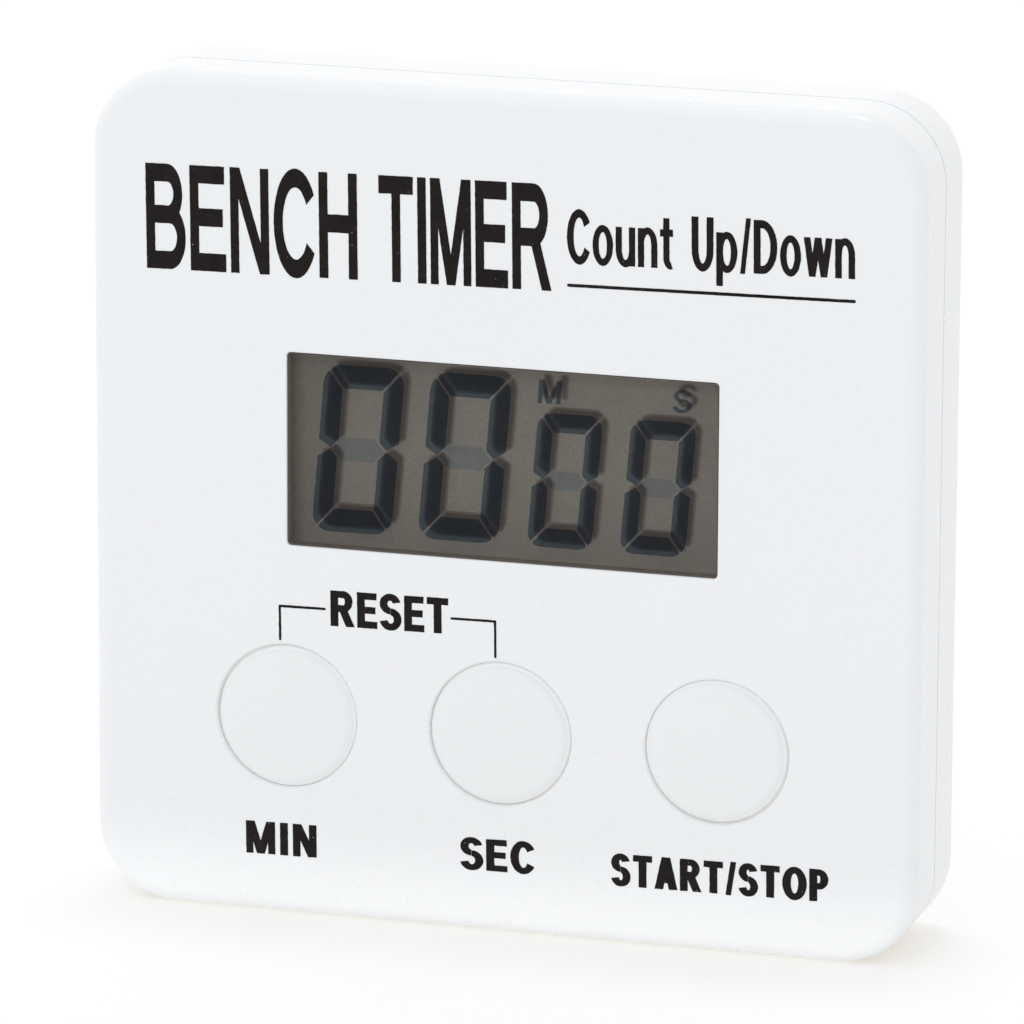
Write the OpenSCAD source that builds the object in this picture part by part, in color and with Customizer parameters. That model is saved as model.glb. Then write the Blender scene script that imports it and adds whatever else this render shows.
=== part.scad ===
// Pocket lab timer: a square two-shell case with a display window, three push buttons,
// a fold-out stand, a coin-slot battery door and the works inside. Millimetres.
// The timer stands on its bottom edge: X is right, Z is up and the front faces -Y.
// "Depth" is the distance behind the front face of the case.

/* [Case] */
// Width and height of the square case
case_size = 63.5; // [63:0.1:66]
// Thickness of the case, front face to back face
case_depth = 12.7; // [12.7:0.1:14]
// Radius of the four corners, seen from the front
corner_r = 6; // [5:0.1:6.5]
// Rounding of the front edge
front_round = 1.2; // [0.8:0.1:1.6]
// Rounding of the back edge
back_round = 2.4; // [1.6:0.1:2.6]
// Wall thickness
wall = 1.6; // [1.6:0.05:1.8]
// Depth of the joint between the two shells
parting_depth = 5.7; // [5.5:0.1:5.9]

/* [Window] */
// Width of the window opening
window_w = 33; // [30:0.1:34]
// Height of the window opening
window_h = 14.6; // [13:0.1:15]
// Height of the window centre above the base
window_z = 35.75; // [35.5:0.05:36]
// Thickness of the lens seen in the opening
lens_depth = 1; // [0.9:0.05:1.1]

/* [Buttons] */
// Diameter of the button caps
cap_d = 10.64; // [10:0.02:10.8]
// Diameter of the holes in the case
cap_hole_d = 11; // [11:0.02:11.2]
// Distance between neighbouring buttons
cap_pitch = 16.59; // [15.6:0.01:16.7]
// Height of the button row above the base
cap_z = 15.33; // [15:0.01:15.5]
// How far the caps stand proud of the face
cap_proud = 0.35; // [0.2:0.05:0.5]
// Travel of a button
cap_travel = 0.8; // [0.6:0.05:0.8]

/* [Stand] */
// Width of the fold-out stand
stand_w = 36; // [34:0.5:36]
// Width of each leg of the stand
leg_w = 5; // [4:0.1:5]
// Height of the bar that joins the legs
foot_h = 6; // [4:0.1:6]
// Thickness of the stand
stand_t = 2; // [1.8:0.1:2]
// Height of the stand's hinge above the base
pivot_z = 37; // [36:0.1:37]
// Length of the stand from hinge to foot
stand_len = 33; // [31:0.1:33]
// Angle at which the stand's heel meets its stop
stand_open = 40; // [35:1:45]

/* [Battery] */
// Diameter of the button cell
cell_d = 11.6; // [11.6:0.1:11.6]
// Thickness of the button cell
cell_h = 5.4; // [5.4:0.1:5.4]
// Diameter of the battery door
door_d = 17; // [16.6:0.1:17]
// Turn that frees the battery door
door_turn = 50; // [45:1:55]

/* [Hidden] */
$fn = 64;
eps = 0.01;
half = case_size / 2;
front_y = -(case_depth - cap_proud) / 2;
back_inside = case_depth - wall;
seam = 0.12;
rim_tongue = 0.72;
rim_step = 0.8;
rim_lap = 1;

// Places of the parts on the back of the board, as [x, z]
chip_place = [0, 38.2];
chip_r = 3.8;
chip_t = 1.3;
crystal_place = [7.2, 42.6];
crystal_r = 1;
crystal_len = 6;
wire_r = 0.15;
capacitor_size = [2, 1.25, 0.8];
capacitor_places = [[-12, 42], [-12, 44], [8, 35], [8, 37.2]];
resistor_size = [1.6, 0.8, 0.5];
resistor_places = [[-8, 35], [-8, 37.2], [-8, 39.4], [-22.5, 33], [-22.5, 35.4]];
coil_place = [22.2, 31];
coil_r = 2;
coil_len = 5.5;
coil_cheek_t = 0.8;
transistor_place = [21.9, 39.5];

// Display stack, front to back
glass_w = 38;
glass_t = 1.1;
film_t = 0.2;
reflector_t = 0.25;
ledge_z = 23.6;
rear_glass_z = 26.8;
glass_top_z = 45.2;
lens_flange = 1.5;
lens_gap = 0.05;
flange_gap = 0.02;
film_depth = wall + film_t;
film_margin = 1.6;
front_glass_depth = film_depth + film_t;
rear_glass_depth = front_glass_depth + glass_t;
reflector_depth = rear_glass_depth + glass_t;

// Circuit board and the posts that carry it
board_depth = 5.6;
board_t = 1;
board_back = board_depth + board_t;
board_w = 51;
board_bottom_z = 9;
board_shoulder_z = 54;
board_top_z = 60.4;
board_neck_w = 45;
cell_cutout_r = 6.2;
post_x = 23;
post_zs = [25.2, 46.5];
post_r = 2;
board_screw_r = 0.8;
corner_post_x = 26.3;
corner_post_zs = [5.9, 57.6];
corner_post_r = 2.5;
case_screw_r = 1;
case_screw_seat = 9.9;
case_screw_len = 7;
corner_post_end = 6;
case_pilot_from = 2.6;
board_pilot_from = 2.4;
pilot_gap = 0.02;
case_screw_gap = 0.15;
screw_recess_r = 2.1;
case_head_r = 1.9;
case_head_t = 1.3;
board_head_r = 1.6;
board_head_t = 1;
board_screw_len = 3.8;
driver_slot_w = 0.4;

// Key mat and contacts
key_xs = [-cap_pitch, 0, cap_pitch];
cap_sit = [[0.06, -0.06], [0, 0], [-0.07, 0.06]];
cap_flange_r = 6.3;
cap_flange_t = 0.9;
stem_end = 3.38;
dome_top = 3.4;
pill_t = 0.4;
pad_t = 0.05;
mat_t = 0.6;
mat_w = 49;
mat_z = 15.4;
mat_h = 12.4;
pill_depth = board_depth - pad_t - cap_travel - pill_t;

// Stand groove
groove_gap = 0.25;
groove_floor = case_depth - stand_t - 0.1;
groove_skin = 1.2;
pivot_depth = case_depth - stand_t / 2;
pin_r = 0.6;
pin_reach = 1.3;
pin_gap = 0.05;
heel_h = 2;
heel_room = 0.25;
groove_bottom = pivot_z - stand_len - groove_gap;
finger_pocket = [12, 2];

// Battery bay
cell_z = 52.5;
cell_front = board_depth;
door_t = case_depth - back_inside - 0.1;
well_r = 6;
well_wall = 1;
bay_r = 9.95;
bay_wall = 0.95;
bay_floor = 8.7;
bay_floor_t = 1;
lug_r = 9.5;
lug_half_angle = 14;
lug_from = 10.3;
lug_to = 11;
door_gap = 0.1;
stop_half_angle = 3.4;
stop_gap_angle = 4;
notch_gap_angle = 2.5;
coin_slot = [10, 1.6, 0.8];

// Magnets and sounder
magnet_x = 19;
magnet_z = 50;
magnet_r = 4.5;
magnet_t = 2;
magnet_gap = 0.05;
magnet_floor = 1.3;
cup_wall = 1.05;
buzzer_z = 22;
buzzer_r = 10;
ceramic_r = 7;
tape_t = 0.5;
tape_w = 1.5;
plate_t = 0.2;
sound_hole_r = 0.75;
sound_ring_r = 3.6;
sound_ring_count = 8;

// ---- Construction helpers ----

// Extrudes an outline drawn in X and Z between two depths.
module slab(from, to) {
  translate([0, front_y + to, 0]) rotate([90, 0, 0]) linear_extrude(to - from) children();
}

// Turns a profile of [radius, depth] about an axis along Y.
module turned(x, z) {
  translate([x, front_y, z]) rotate([-90, 0, 0]) rotate_extrude() children();
}

// Extrudes a profile of [depth, height] along X.
module along_x(from, to) {
  translate([from, front_y, 0]) rotate([90, 0, 90]) linear_extrude(to - from) children();
}

// A round bar or hole along Y.
module rod(x, z, r, from, to) {
  translate([x, front_y + from, z]) rotate([-90, 0, 0]) cylinder(r = r, h = to - from);
}

// A box given by its centre in X, its bottom in Z, its size and its depths.
module block(x, z, w, h, from, to) {
  translate([x - w / 2, front_y + from, z]) cube([w, to - from, h]);
}

// A rectangle with round corners about its own centre.
module rounded_rect(w, h, r) {
  square([w - 2 * r, h], center = true);
  square([w, h - 2 * r], center = true);
  for (sx = [-1, 1], sz = [-1, 1])
    translate([sx * (w / 2 - r), sz * (h / 2 - r)]) circle(r = r);
}

// The case outline, drawn in by a margin.
module case_outline(margin) {
  translate([0, half]) rounded_rect(case_size - 2 * margin, case_size - 2 * margin, corner_r - margin);
}

// The window outline, grown by a margin.
module window_outline(margin, r) {
  translate([0, window_z]) rounded_rect(window_w + 2 * margin, window_h + 2 * margin, r);
}

// A ring sector about the origin, centred on an angle.
module ring_sector(r_in, r_out, middle, half_angle) {
  reach = r_out * 1.5;
  intersection() {
    difference() {
      circle(r = r_out);
      circle(r = r_in);
    }
    polygon([
      [0, 0],
      [reach * cos(middle - half_angle), reach * sin(middle - half_angle)],
      [reach * cos(middle + half_angle), reach * sin(middle + half_angle)]
    ]);
  }
}

// Points of a quarter round from one angle to another, as [radius, depth].
function arc(cx, cy, r, from, to, steps = 6) =
  [for (i = [0:steps]) let (a = from + (to - from) * i / steps) [cx + r * cos(a), cy + r * sin(a)]];

// Half of the outer case: a square plate with round corners and one rounded edge.
module case_half(profile) {
  inset = half - corner_r;
  hull()
    for (sx = [-1, 1], sz = [-1, 1])
      translate([sx * inset, front_y, half + sz * inset])
        rotate([-90, 0, 0]) rotate_extrude($fn = 32) polygon(profile);
}

// ---- Case ----

module front_shell() {
  profile = concat(
    [[0, parting_depth], [0, 0]],
    arc(corner_r - front_round, front_round, front_round, -90, 0),
    [[corner_r, parting_depth]]
  );
  color("whitesmoke") difference() {
    union() {
      difference() {
        case_half(profile);
        slab(wall, parting_depth + 1) case_outline(wall);
        slab(parting_depth - rim_lap, parting_depth + 1) case_outline(wall - rim_step);
      }
      for (sx = [-1, 1], z = corner_post_zs)
        rod(sx * corner_post_x, z, corner_post_r, wall - eps, corner_post_end);
      for (sx = [-1, 1], z = post_zs)
        rod(sx * post_x, z, post_r, wall - eps, board_depth);
    }
    slab(-1, wall + 1) window_outline(0, 0.3);
    slab(lens_depth, wall + 1) window_outline(lens_flange + 2 * lens_gap, 0.6);
    for (x = key_xs) rod(x, cap_z, cap_hole_d / 2, -1, wall + 1);
    for (sx = [-1, 1], z = corner_post_zs)
      rod(sx * corner_post_x, z, case_screw_r + pilot_gap, case_pilot_from, corner_post_end + 1);
    for (sx = [-1, 1], z = post_zs)
      rod(sx * post_x, z, board_screw_r + pilot_gap, board_pilot_from, board_depth + 1);
  }
}

module rear_shell() {
  from = parting_depth + seam;
  profile = concat(
    [[0, case_depth], [0, from], [corner_r, from]],
    arc(corner_r - back_round, case_depth - back_round, back_round, 0, 90)
  );
  color("whitesmoke") difference() {
    union() {
      difference() {
        union() {
          case_half(profile);
          slab(parting_depth - rim_lap + 0.1, from + 1) case_outline(wall - rim_tongue);
        }
        slab(parting_depth - rim_lap - 1, back_inside) case_outline(wall);
      }
      for (sx = [-1, 1], z = corner_post_zs)
        rod(sx * corner_post_x, z, corner_post_r + 0.1, corner_post_end + 0.1, back_inside + eps);
      slab(groove_floor - groove_skin, back_inside + eps) stand_outline(groove_skin + groove_gap);
      rod(0, cell_z, bay_r + bay_wall, bay_floor, back_inside + eps);
      rod(0, cell_z, well_r + well_wall, board_back + 0.15, bay_floor + eps);
      for (sx = [-1, 1])
        rod(sx * magnet_x, magnet_z, magnet_r + cup_wall, case_depth - magnet_t - magnet_floor, back_inside + eps);
    }
    stand_recess();
    battery_bay();
    for (sx = [-1, 1])
      rod(sx * magnet_x, magnet_z, magnet_r + magnet_gap, case_depth - magnet_t - 2 * eps, case_depth + 1);
    for (sx = [-1, 1], z = corner_post_zs) {
      rod(sx * corner_post_x, z, screw_recess_r, case_screw_seat, case_depth + 1);
      rod(sx * corner_post_x, z, case_screw_r + case_screw_gap, corner_post_end - 1, case_screw_seat + 1);
    }
    rod(0, buzzer_z, sound_hole_r, back_inside - 1, case_depth + 1);
    for (i = [0:sound_ring_count - 1]) {
      a = i * 360 / sound_ring_count;
      rod(sound_ring_r * cos(a), buzzer_z + sound_ring_r * sin(a), sound_hole_r,
        back_inside - 1, case_depth + 1);
    }
  }
}

// The stand seen from behind, grown by a margin: two legs and a foot.
module stand_outline(margin) {
  bottom = pivot_z - stand_len - margin;
  top = pivot_z + heel_h + heel_room + margin;
  for (sx = [-1, 1])
    translate([sx * (stand_w - leg_w) / 2 - leg_w / 2 - margin, bottom]) square([leg_w + 2 * margin, top - bottom]);
  translate([-stand_w / 2, bottom]) square([stand_w, foot_h + 2 * margin]);
}

// Groove, pivot holes and finger pocket for the stand.
module stand_recess() {
  slab(groove_floor, case_depth + 1) stand_outline(groove_gap);
  for (sx = [-1, 1])
    translate([sx * (stand_w / 2 + 0.1), front_y + pivot_depth, pivot_z])
      rotate([0, sx * 90, 0]) cylinder(r = pin_r + pin_gap, h = pin_reach);
  block(0, groove_bottom - finger_pocket[1] + 0.8, finger_pocket[0], finger_pocket[1],
    groove_floor + 0.4, case_depth + 1);
}

// Hole, undercut, lug notches and well of the battery bay.
module battery_bay() {
  rod(0, cell_z, door_d / 2 + door_gap, back_inside - eps, case_depth + 1);
  slab(back_inside - eps, case_depth + 1) translate([0, cell_z])
    for (side = [0, 180])
      ring_sector(door_d / 2, lug_r + 0.2, side - door_turn, lug_half_angle + notch_gap_angle);
  difference() {
    rod(0, cell_z, bay_r, bay_floor + bay_floor_t, back_inside);
    slab(bay_floor, case_depth) translate([0, cell_z])
      for (side = [0, 180], stop = [lug_half_angle + stop_gap_angle, -door_turn - lug_half_angle - stop_gap_angle])
        ring_sector(door_d / 2 + 0.25, bay_r + 1, side + stop, stop_half_angle);
  }
  rod(0, cell_z, well_r, board_back - 1, bay_floor + bay_floor_t + 1);
  block(6.5, cell_z - 2.3, 2.4, 4.6, board_back - 1, bay_floor + bay_floor_t + 0.5);
}

module window_lens() {
  color("lightcyan", 0.4) {
    slab(0, wall) window_outline(-lens_gap, 0.25);
    slab(lens_depth + flange_gap, wall) window_outline(lens_flange, 0.5);
  }
}

// ---- Buttons and key mat ----

// One cap: a shallow crowned cup with a retaining flange and a stem that presses the mat.
module button_cap(i) {
  sit = cap_sit[i];
  r = cap_d / 2;
  edge = 0.6;
  top = -cap_proud;
  profile = concat(
    [[0, stem_end], [0, top]],
    [for (s = [1:4]) [(r - edge) * s / 4, top + 0.12 * pow(s / 4, 2)]],
    arc(r - edge, top + 0.12 + edge, edge, -75, 0, 5),
    [
      [r, wall + 0.05], [cap_flange_r, wall + 0.05], [cap_flange_r, wall + 0.05 + cap_flange_t],
      [r - 1.1, wall + 0.05 + cap_flange_t], [r - 1.1, 1.1], [1.7, 1.1], [1.7, stem_end]
    ]
  );
  color("white") turned(key_xs[i] + sit[0], cap_z + sit[1]) polygon(profile);
}

// A carbon pill moulded under the top of a dome.
module contact_pill(i) {
  color("dimgray") rod(key_xs[i], cap_z, 1.5, pill_depth, pill_depth + pill_t);
}

module keypad_mat() {
  base = board_depth - mat_t;
  dome = [
    [0, dome_top], [2, dome_top], [4, base + eps], [3.6, board_depth],
    [3.45, board_depth], [1.9, pill_depth + pill_t - 0.1], [1.52, pill_depth + pill_t - 0.1],
    [1.52, pill_depth - eps], [0, pill_depth - eps]
  ];
  color("lightgray") {
    difference() {
      slab(base, board_depth) translate([0, mat_z]) rounded_rect(mat_w, mat_h, 1.5);
      for (x = key_xs) rod(x, cap_z, 3.6, base - 1, board_depth + 1);
      for (sx = [-1, 1]) rod(sx * cap_pitch / 2, mat_z, 0.8, base - 1, board_depth + 1);
    }
    for (x = key_xs) turned(x, cap_z) polygon(dome);
  }
}

// A pair of half-moon pads under each key, with a slit between them.
module key_contacts() {
  color("goldenrod") slab(board_depth - pad_t, board_depth)
    for (x = key_xs) translate([x, cap_z]) difference() {
      circle(r = 2.2);
      square([0.5, 6], center = true);
    }
}

// ---- Circuit board and its parts ----

module circuit_board() {
  color("seagreen") difference() {
    slab(board_depth, board_back) {
      translate([-board_w / 2, board_bottom_z]) square([board_w, board_shoulder_z - board_bottom_z]);
      translate([-board_neck_w / 2, board_bottom_z]) square([board_neck_w, board_top_z - board_bottom_z]);
    }
    rod(0, cell_z, cell_cutout_r, board_depth - 1, board_back + 1);
    for (sx = [-1, 1], z = post_zs) rod(sx * post_x, z, board_screw_r + 0.1, board_depth - 1, board_back + 1);
  }
}

// A drop of black epoxy: a low dome on the back of the board.
module controller_chip() {
  ball_r = (chip_r * chip_r + chip_t * chip_t) / (2 * chip_t);
  edge_angle = asin(chip_r / ball_r);
  color("black") turned(chip_place[0], chip_place[1]) polygon(concat(
    [[0, board_back]],
    arc(0, board_back + chip_t - ball_r, ball_r, 90 - edge_angle, 90, 8)
  ));
}

// A round bar along X, from a place on the board at a depth.
module bar_along_x(x, z, depth, r, length) {
  translate([x, front_y + depth, z]) rotate([0, 90, 0]) cylinder(r = r, h = length);
}

// A can lying on the board, with two bent wires.
module quartz_crystal() {
  x = crystal_place[0];
  z = crystal_place[1];
  depth = board_back + crystal_r + 0.05;
  color("silver") {
    bar_along_x(x + 1.8, z, depth, crystal_r, crystal_len);
    for (dz = [-0.4, 0.4]) {
      bar_along_x(x, z + dz, depth, wire_r, 1.9);
      rod(x + 0.05, z + dz, wire_r, board_back, depth);
    }
  }
}

// Small rectangular components, by their places on the board.
module chip_parts(places, size) {
  for (p = places) block(p[0], p[1], size[0], size[1], board_back, board_back + size[2]);
}

module chip_capacitors() {
  color("tan") chip_parts(capacitor_places, capacitor_size);
}

module chip_resistors() {
  color("black") chip_parts(resistor_places, resistor_size);
}

// A drum core with its winding between two cheeks.
module boost_coil() {
  color("saddlebrown") translate([coil_place[0], front_y + board_back + coil_r, coil_place[1]]) {
    cylinder(r = coil_r, h = coil_cheek_t);
    cylinder(r = coil_r - 0.3, h = coil_len);
    translate([0, 0, coil_len - coil_cheek_t]) cylinder(r = coil_r, h = coil_cheek_t);
  }
}

// A small moulded body with two legs below and one above.
module switching_transistor() {
  x = transistor_place[0];
  z = transistor_place[1];
  leg = [0.4, 0.6, 0.2];
  color("black") block(x, z, 2.9, 1.3, board_back + 0.05, board_back + 1);
  color("silver") chip_parts([[x - 0.95, z - 0.5], [x + 0.95, z - 0.5], [x, z + 1.2]], leg);
}

// ---- Display ----

module lcd_front_polariser() {
  color("darkslategray") slab(film_depth, front_glass_depth) window_outline(film_margin, 0.3);
}

module lcd_front_glass() {
  color("lightblue", 0.5)
    block(0, ledge_z, glass_w, glass_top_z - ledge_z, front_glass_depth, rear_glass_depth);
}

module lcd_rear_glass() {
  color("lightblue", 0.5)
    block(0, rear_glass_z, glass_w, glass_top_z - rear_glass_z, rear_glass_depth, reflector_depth);
}

module lcd_rear_polariser() {
  color("gray") slab(reflector_depth, reflector_depth + reflector_t) window_outline(film_margin, 0.3);
}

// A tray that holds the display and the connector strip against the window.
module lcd_holder() {
  bottom = ledge_z - 1.2;
  height = glass_top_z + 1.2 - bottom;
  color("ivory") difference() {
    union() {
      difference() {
        block(0, bottom, glass_w + 2.6, height, film_depth - 0.05, board_depth - 0.05);
        block(0, ledge_z - 0.1, glass_w + 0.2, glass_top_z - ledge_z + 0.2,
          film_depth - 1, reflector_depth + reflector_t + 0.05);
      }
      block(0, 26.1, glass_w + 0.5, 0.6, rear_glass_depth + 0.05, board_depth - 0.05);
    }
    block(0, 29, 32, 13.5, film_depth, board_depth + 1);
    block(0, 23.8, 34.2, 2.2, film_depth, board_depth + 1);
  }
}

module zebra_connector() {
  color("dimgray") block(0, 23.9, 34, 2, rear_glass_depth, board_depth);
}

// ---- Sounder ----

module buzzer_tape() {
  color("white") difference() {
    rod(0, buzzer_z, buzzer_r, back_inside - tape_t, back_inside);
    rod(0, buzzer_z, buzzer_r - tape_w, back_inside - tape_t - 1, back_inside + 1);
  }
}

module buzzer_plate() {
  color("gold") rod(0, buzzer_z, buzzer_r, back_inside - tape_t - plate_t, back_inside - tape_t);
}

module buzzer_ceramic() {
  to = back_inside - tape_t - plate_t;
  color("white") rod(0, buzzer_z, ceramic_r, to - plate_t, to);
}

// A lead from the board to the sounder: straight runs with round joints and a solder dot at its end.
module lead(x, end_z, end_depth) {
  r = 0.35;
  start_z = 34.2;
  points = [
    [x, board_back, start_z], [x, board_back + 1.4, start_z],
    [x, end_depth - r, start_z - 1.8], [x, end_depth - r, end_z]
  ];
  for (i = [0:len(points) - 2]) {
    run = points[i + 1] - points[i];
    translate([0, front_y, 0] + points[i])
      rotate([-atan2(run[1], run[2]), 0, 0]) cylinder(r = r, h = norm(run), $fn = 24);
  }
  for (i = [1:len(points) - 1]) translate([0, front_y, 0] + points[i]) sphere(r = r + 0.03, $fn = 24);
  rod(x, end_z, 0.8, end_depth - 0.6, end_depth);
}

module buzzer_leads() {
  plate_depth = back_inside - tape_t - plate_t;
  color("firebrick") lead(-3, buzzer_z + 8.4, plate_depth);
  color("black") lead(3, buzzer_z + 4, plate_depth - plate_t);
}

// ---- Battery ----

module button_cell() {
  step = 0.3;
  back = cell_front + cell_h;
  r = cell_d / 2;
  color("silver") turned(0, cell_z) polygon([
    [0, cell_front], [r - 0.9, cell_front], [r - 0.9, cell_front + step], [r - 0.2, cell_front + step],
    [r, cell_front + step + 0.2], [r, back - 0.2], [r - 0.2, back], [0, back]
  ]);
}

// A blade beside the cell, with a foot on the back of the board.
module battery_contact_plus() {
  color("silver") {
    block(5.93, cell_z - 2, 0.25, 4, board_back, bay_floor + 0.8);
    block(7.9, cell_z - 2, 4, 4, board_back, board_back + 0.12);
  }
}

// A strip across the board's cut-out, under the cell.
module battery_contact_minus() {
  color("silver") block(0, cell_z - 2, 17, 4, board_depth - 0.3, board_depth);
}

module battery_door() {
  r = door_d / 2;
  color("white") difference() {
    union() {
      rod(0, cell_z, r, case_depth - door_t, case_depth);
      difference() {
        rod(0, cell_z, r, lug_from, case_depth - door_t + eps);
        rod(0, cell_z, well_r + well_wall + 0.3, lug_from - 1, case_depth - door_t);
      }
      slab(lug_from, lug_to) translate([0, cell_z])
        for (side = [0, 180]) ring_sector(r - 0.5, lug_r, side, lug_half_angle);
    }
    block(0, cell_z - coin_slot[1] / 2, coin_slot[0], coin_slot[1], case_depth - coin_slot[2], case_depth + 1);
  }
}

// ---- Stand, magnets and fasteners ----

module kickstand() {
  color("white") {
    for (sx = [-1, 1]) {
      along_x(sx * (stand_w - leg_w) / 2 - leg_w / 2, sx * (stand_w - leg_w) / 2 + leg_w / 2) leg_profile();
      translate([sx * (stand_w / 2 - 1), front_y + pivot_depth, pivot_z])
        rotate([0, sx * 90, 0]) cylinder(r = pin_r, h = 1 + pin_reach - 0.1);
    }
    block(0, pivot_z - stand_len, stand_w - 2, foot_h, case_depth - stand_t, case_depth);
  }
}

// Side view of a leg: round at the hinge, with a heel whose slope meets the groove floor when open.
module leg_profile() {
  t = stand_t / 2;
  heel_start = [pivot_depth - t * cos(stand_open), pivot_z + t * sin(stand_open)];
  heel_run = (heel_h - t * sin(stand_open)) / cos(stand_open);
  translate([pivot_depth, pivot_z]) circle(r = t);
  translate([pivot_depth - t, pivot_z - stand_len]) square([2 * t, stand_len]);
  polygon([
    [pivot_depth, pivot_z], heel_start,
    heel_start + heel_run * [sin(stand_open), cos(stand_open)],
    [pivot_depth + t, pivot_z + heel_h], [pivot_depth + t, pivot_z]
  ]);
}

module magnets() {
  color("gray") for (sx = [-1, 1])
    rod(sx * magnet_x, magnet_z, magnet_r, case_depth - magnet_t, case_depth);
}

// A pan-head screw along Y with a cross recess, its head's underside at a depth.
module screw(x, z, seat, head_r, head_t, r, length) {
  difference() {
    union() {
      rod(x, z, head_r, seat, seat + head_t);
      rod(x, z, r, seat - length, seat + eps);
    }
    for (a = [0, 90])
      translate([x, front_y + seat + head_t, z]) rotate([0, a, 0]) cube([head_r * 1.2, head_t, driver_slot_w], center = true);
  }
}

module case_screws() {
  color("dimgray") for (sx = [-1, 1], z = corner_post_zs)
    screw(sx * corner_post_x, z, case_screw_seat, case_head_r, case_head_t, case_screw_r, case_screw_len);
}

module board_screws() {
  color("dimgray") for (sx = [-1, 1], z = post_zs)
    screw(sx * post_x, z, board_back, board_head_r, board_head_t, board_screw_r, board_screw_len);
}

front_shell();
rear_shell();
window_lens();
button_cap(0);  // min_button
button_cap(1);  // sec_button
button_cap(2);  // start_stop_button
contact_pill(0);  // min_contact_pill
contact_pill(1);  // sec_contact_pill
contact_pill(2);  // start_stop_contact_pill
keypad_mat();
key_contacts();
circuit_board();
lcd_front_polariser();
lcd_front_glass();
lcd_rear_glass();
lcd_rear_polariser();
lcd_holder();
zebra_connector();
controller_chip();
quartz_crystal();
chip_capacitors();
chip_resistors();
boost_coil();
switching_transistor();
buzzer_plate();
buzzer_ceramic();
buzzer_tape();
buzzer_leads();
button_cell();
battery_contact_plus();
battery_contact_minus();
battery_door();
kickstand();
magnets();
case_screws();
board_screws();
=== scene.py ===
"""Looks of the pocket lab timer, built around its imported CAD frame.

Lengths are millimetres until a mesh is made, where `spot` turns them into metres.
X is right and Z is up. "Depth" is the distance behind the front face, which faces -Y.
"""
import math

import bmesh
import bpy
from mathutils import Matrix, Vector, noise


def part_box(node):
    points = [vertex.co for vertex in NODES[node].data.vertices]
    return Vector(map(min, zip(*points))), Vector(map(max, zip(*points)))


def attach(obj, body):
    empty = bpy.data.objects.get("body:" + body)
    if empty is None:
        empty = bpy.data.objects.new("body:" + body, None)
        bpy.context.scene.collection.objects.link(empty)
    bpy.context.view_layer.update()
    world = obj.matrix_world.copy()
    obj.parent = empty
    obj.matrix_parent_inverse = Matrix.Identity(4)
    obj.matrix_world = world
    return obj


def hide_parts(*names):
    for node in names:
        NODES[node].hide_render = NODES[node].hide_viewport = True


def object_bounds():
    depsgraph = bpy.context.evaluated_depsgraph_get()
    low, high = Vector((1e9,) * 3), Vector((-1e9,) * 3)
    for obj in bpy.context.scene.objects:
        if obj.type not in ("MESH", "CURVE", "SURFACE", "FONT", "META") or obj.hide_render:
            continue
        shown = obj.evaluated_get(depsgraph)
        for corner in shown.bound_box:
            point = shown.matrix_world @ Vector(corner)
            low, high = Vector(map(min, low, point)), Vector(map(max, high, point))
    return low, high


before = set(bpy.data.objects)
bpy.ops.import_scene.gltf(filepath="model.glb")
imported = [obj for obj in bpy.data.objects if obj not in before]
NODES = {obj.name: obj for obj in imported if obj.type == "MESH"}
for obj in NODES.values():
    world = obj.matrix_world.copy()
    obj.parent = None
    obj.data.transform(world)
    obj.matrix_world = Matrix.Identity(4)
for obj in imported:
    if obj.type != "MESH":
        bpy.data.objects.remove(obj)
cad_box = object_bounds()

MM = 0.001


def node_box(node):
    """Lowest and highest corner of a CAD node, in millimetres."""
    low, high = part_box(node)
    return low / MM, high / MM


SHELL_LOW, SHELL_HIGH = node_box("front_shell")
REAR_HIGH = node_box("rear_shell")[1]
LENS_LOW, LENS_HIGH = node_box("window_lens")
STAND_LOW, STAND_HIGH = node_box("kickstand")
DOOR_LOW, DOOR_HIGH = node_box("battery_door")
MAGNET_LOW, MAGNET_HIGH = node_box("magnets")
FRONT_Y = SHELL_LOW.y

# Case
CASE_HALF = SHELL_HIGH.x
CASE_MIDDLE = (SHELL_LOW.z + SHELL_HIGH.z) / 2
CASE_DEPTH = REAR_HIGH.y - FRONT_Y
CORNER_R = 6
FRONT_ROUND = 1.2
BACK_ROUND = 2.4
WALL = 1.6
PARTING = 5.7
SEAM = 0.12
RIM_LAP = 1
RIM_STEP = 0.8
RIM_TONGUE = 0.72
BACK_INSIDE = CASE_DEPTH - WALL
INSIDE_ROUND = 0.5
CORNER_POST_X = 26.3
CORNER_POST_ZS = (5.9, 57.6)
CORNER_POST_R = 2.5
CORNER_POST_END = 6
CORNER_PILOT = (1.02, 2.6)      # a screw hole's radius, and the depth at which it starts
BOARD_POST_X = 23
BOARD_POST_ZS = (25.2, 46.5)
BOARD_POST_R = 2
BOARD_POST_END = 5.6
BOARD_PILOT = (0.82, 2.4)
SLEEVE_R = 2.6
SLEEVE_START = 6.1
SCREW_SEAT = 9.9
SCREW_HEAD_HOLE_R = 2.1
SCREW_SHANK_HOLE_R = 1.15
OVERLAP = 0.05                  # how far joined bodies reach into each other
PAST = 1                        # how far a cutter runs past what it cuts

# Window
LENS_FLANGE = 1.5
LENS_DEPTH = 1
LENS_SEAT_GAP = 0.1
WINDOW_HALF_W = LENS_HIGH.x - LENS_FLANGE
WINDOW_HALF_H = (LENS_HIGH.z - LENS_LOW.z) / 2 - LENS_FLANGE
WINDOW_Z = (LENS_LOW.z + LENS_HIGH.z) / 2

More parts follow.
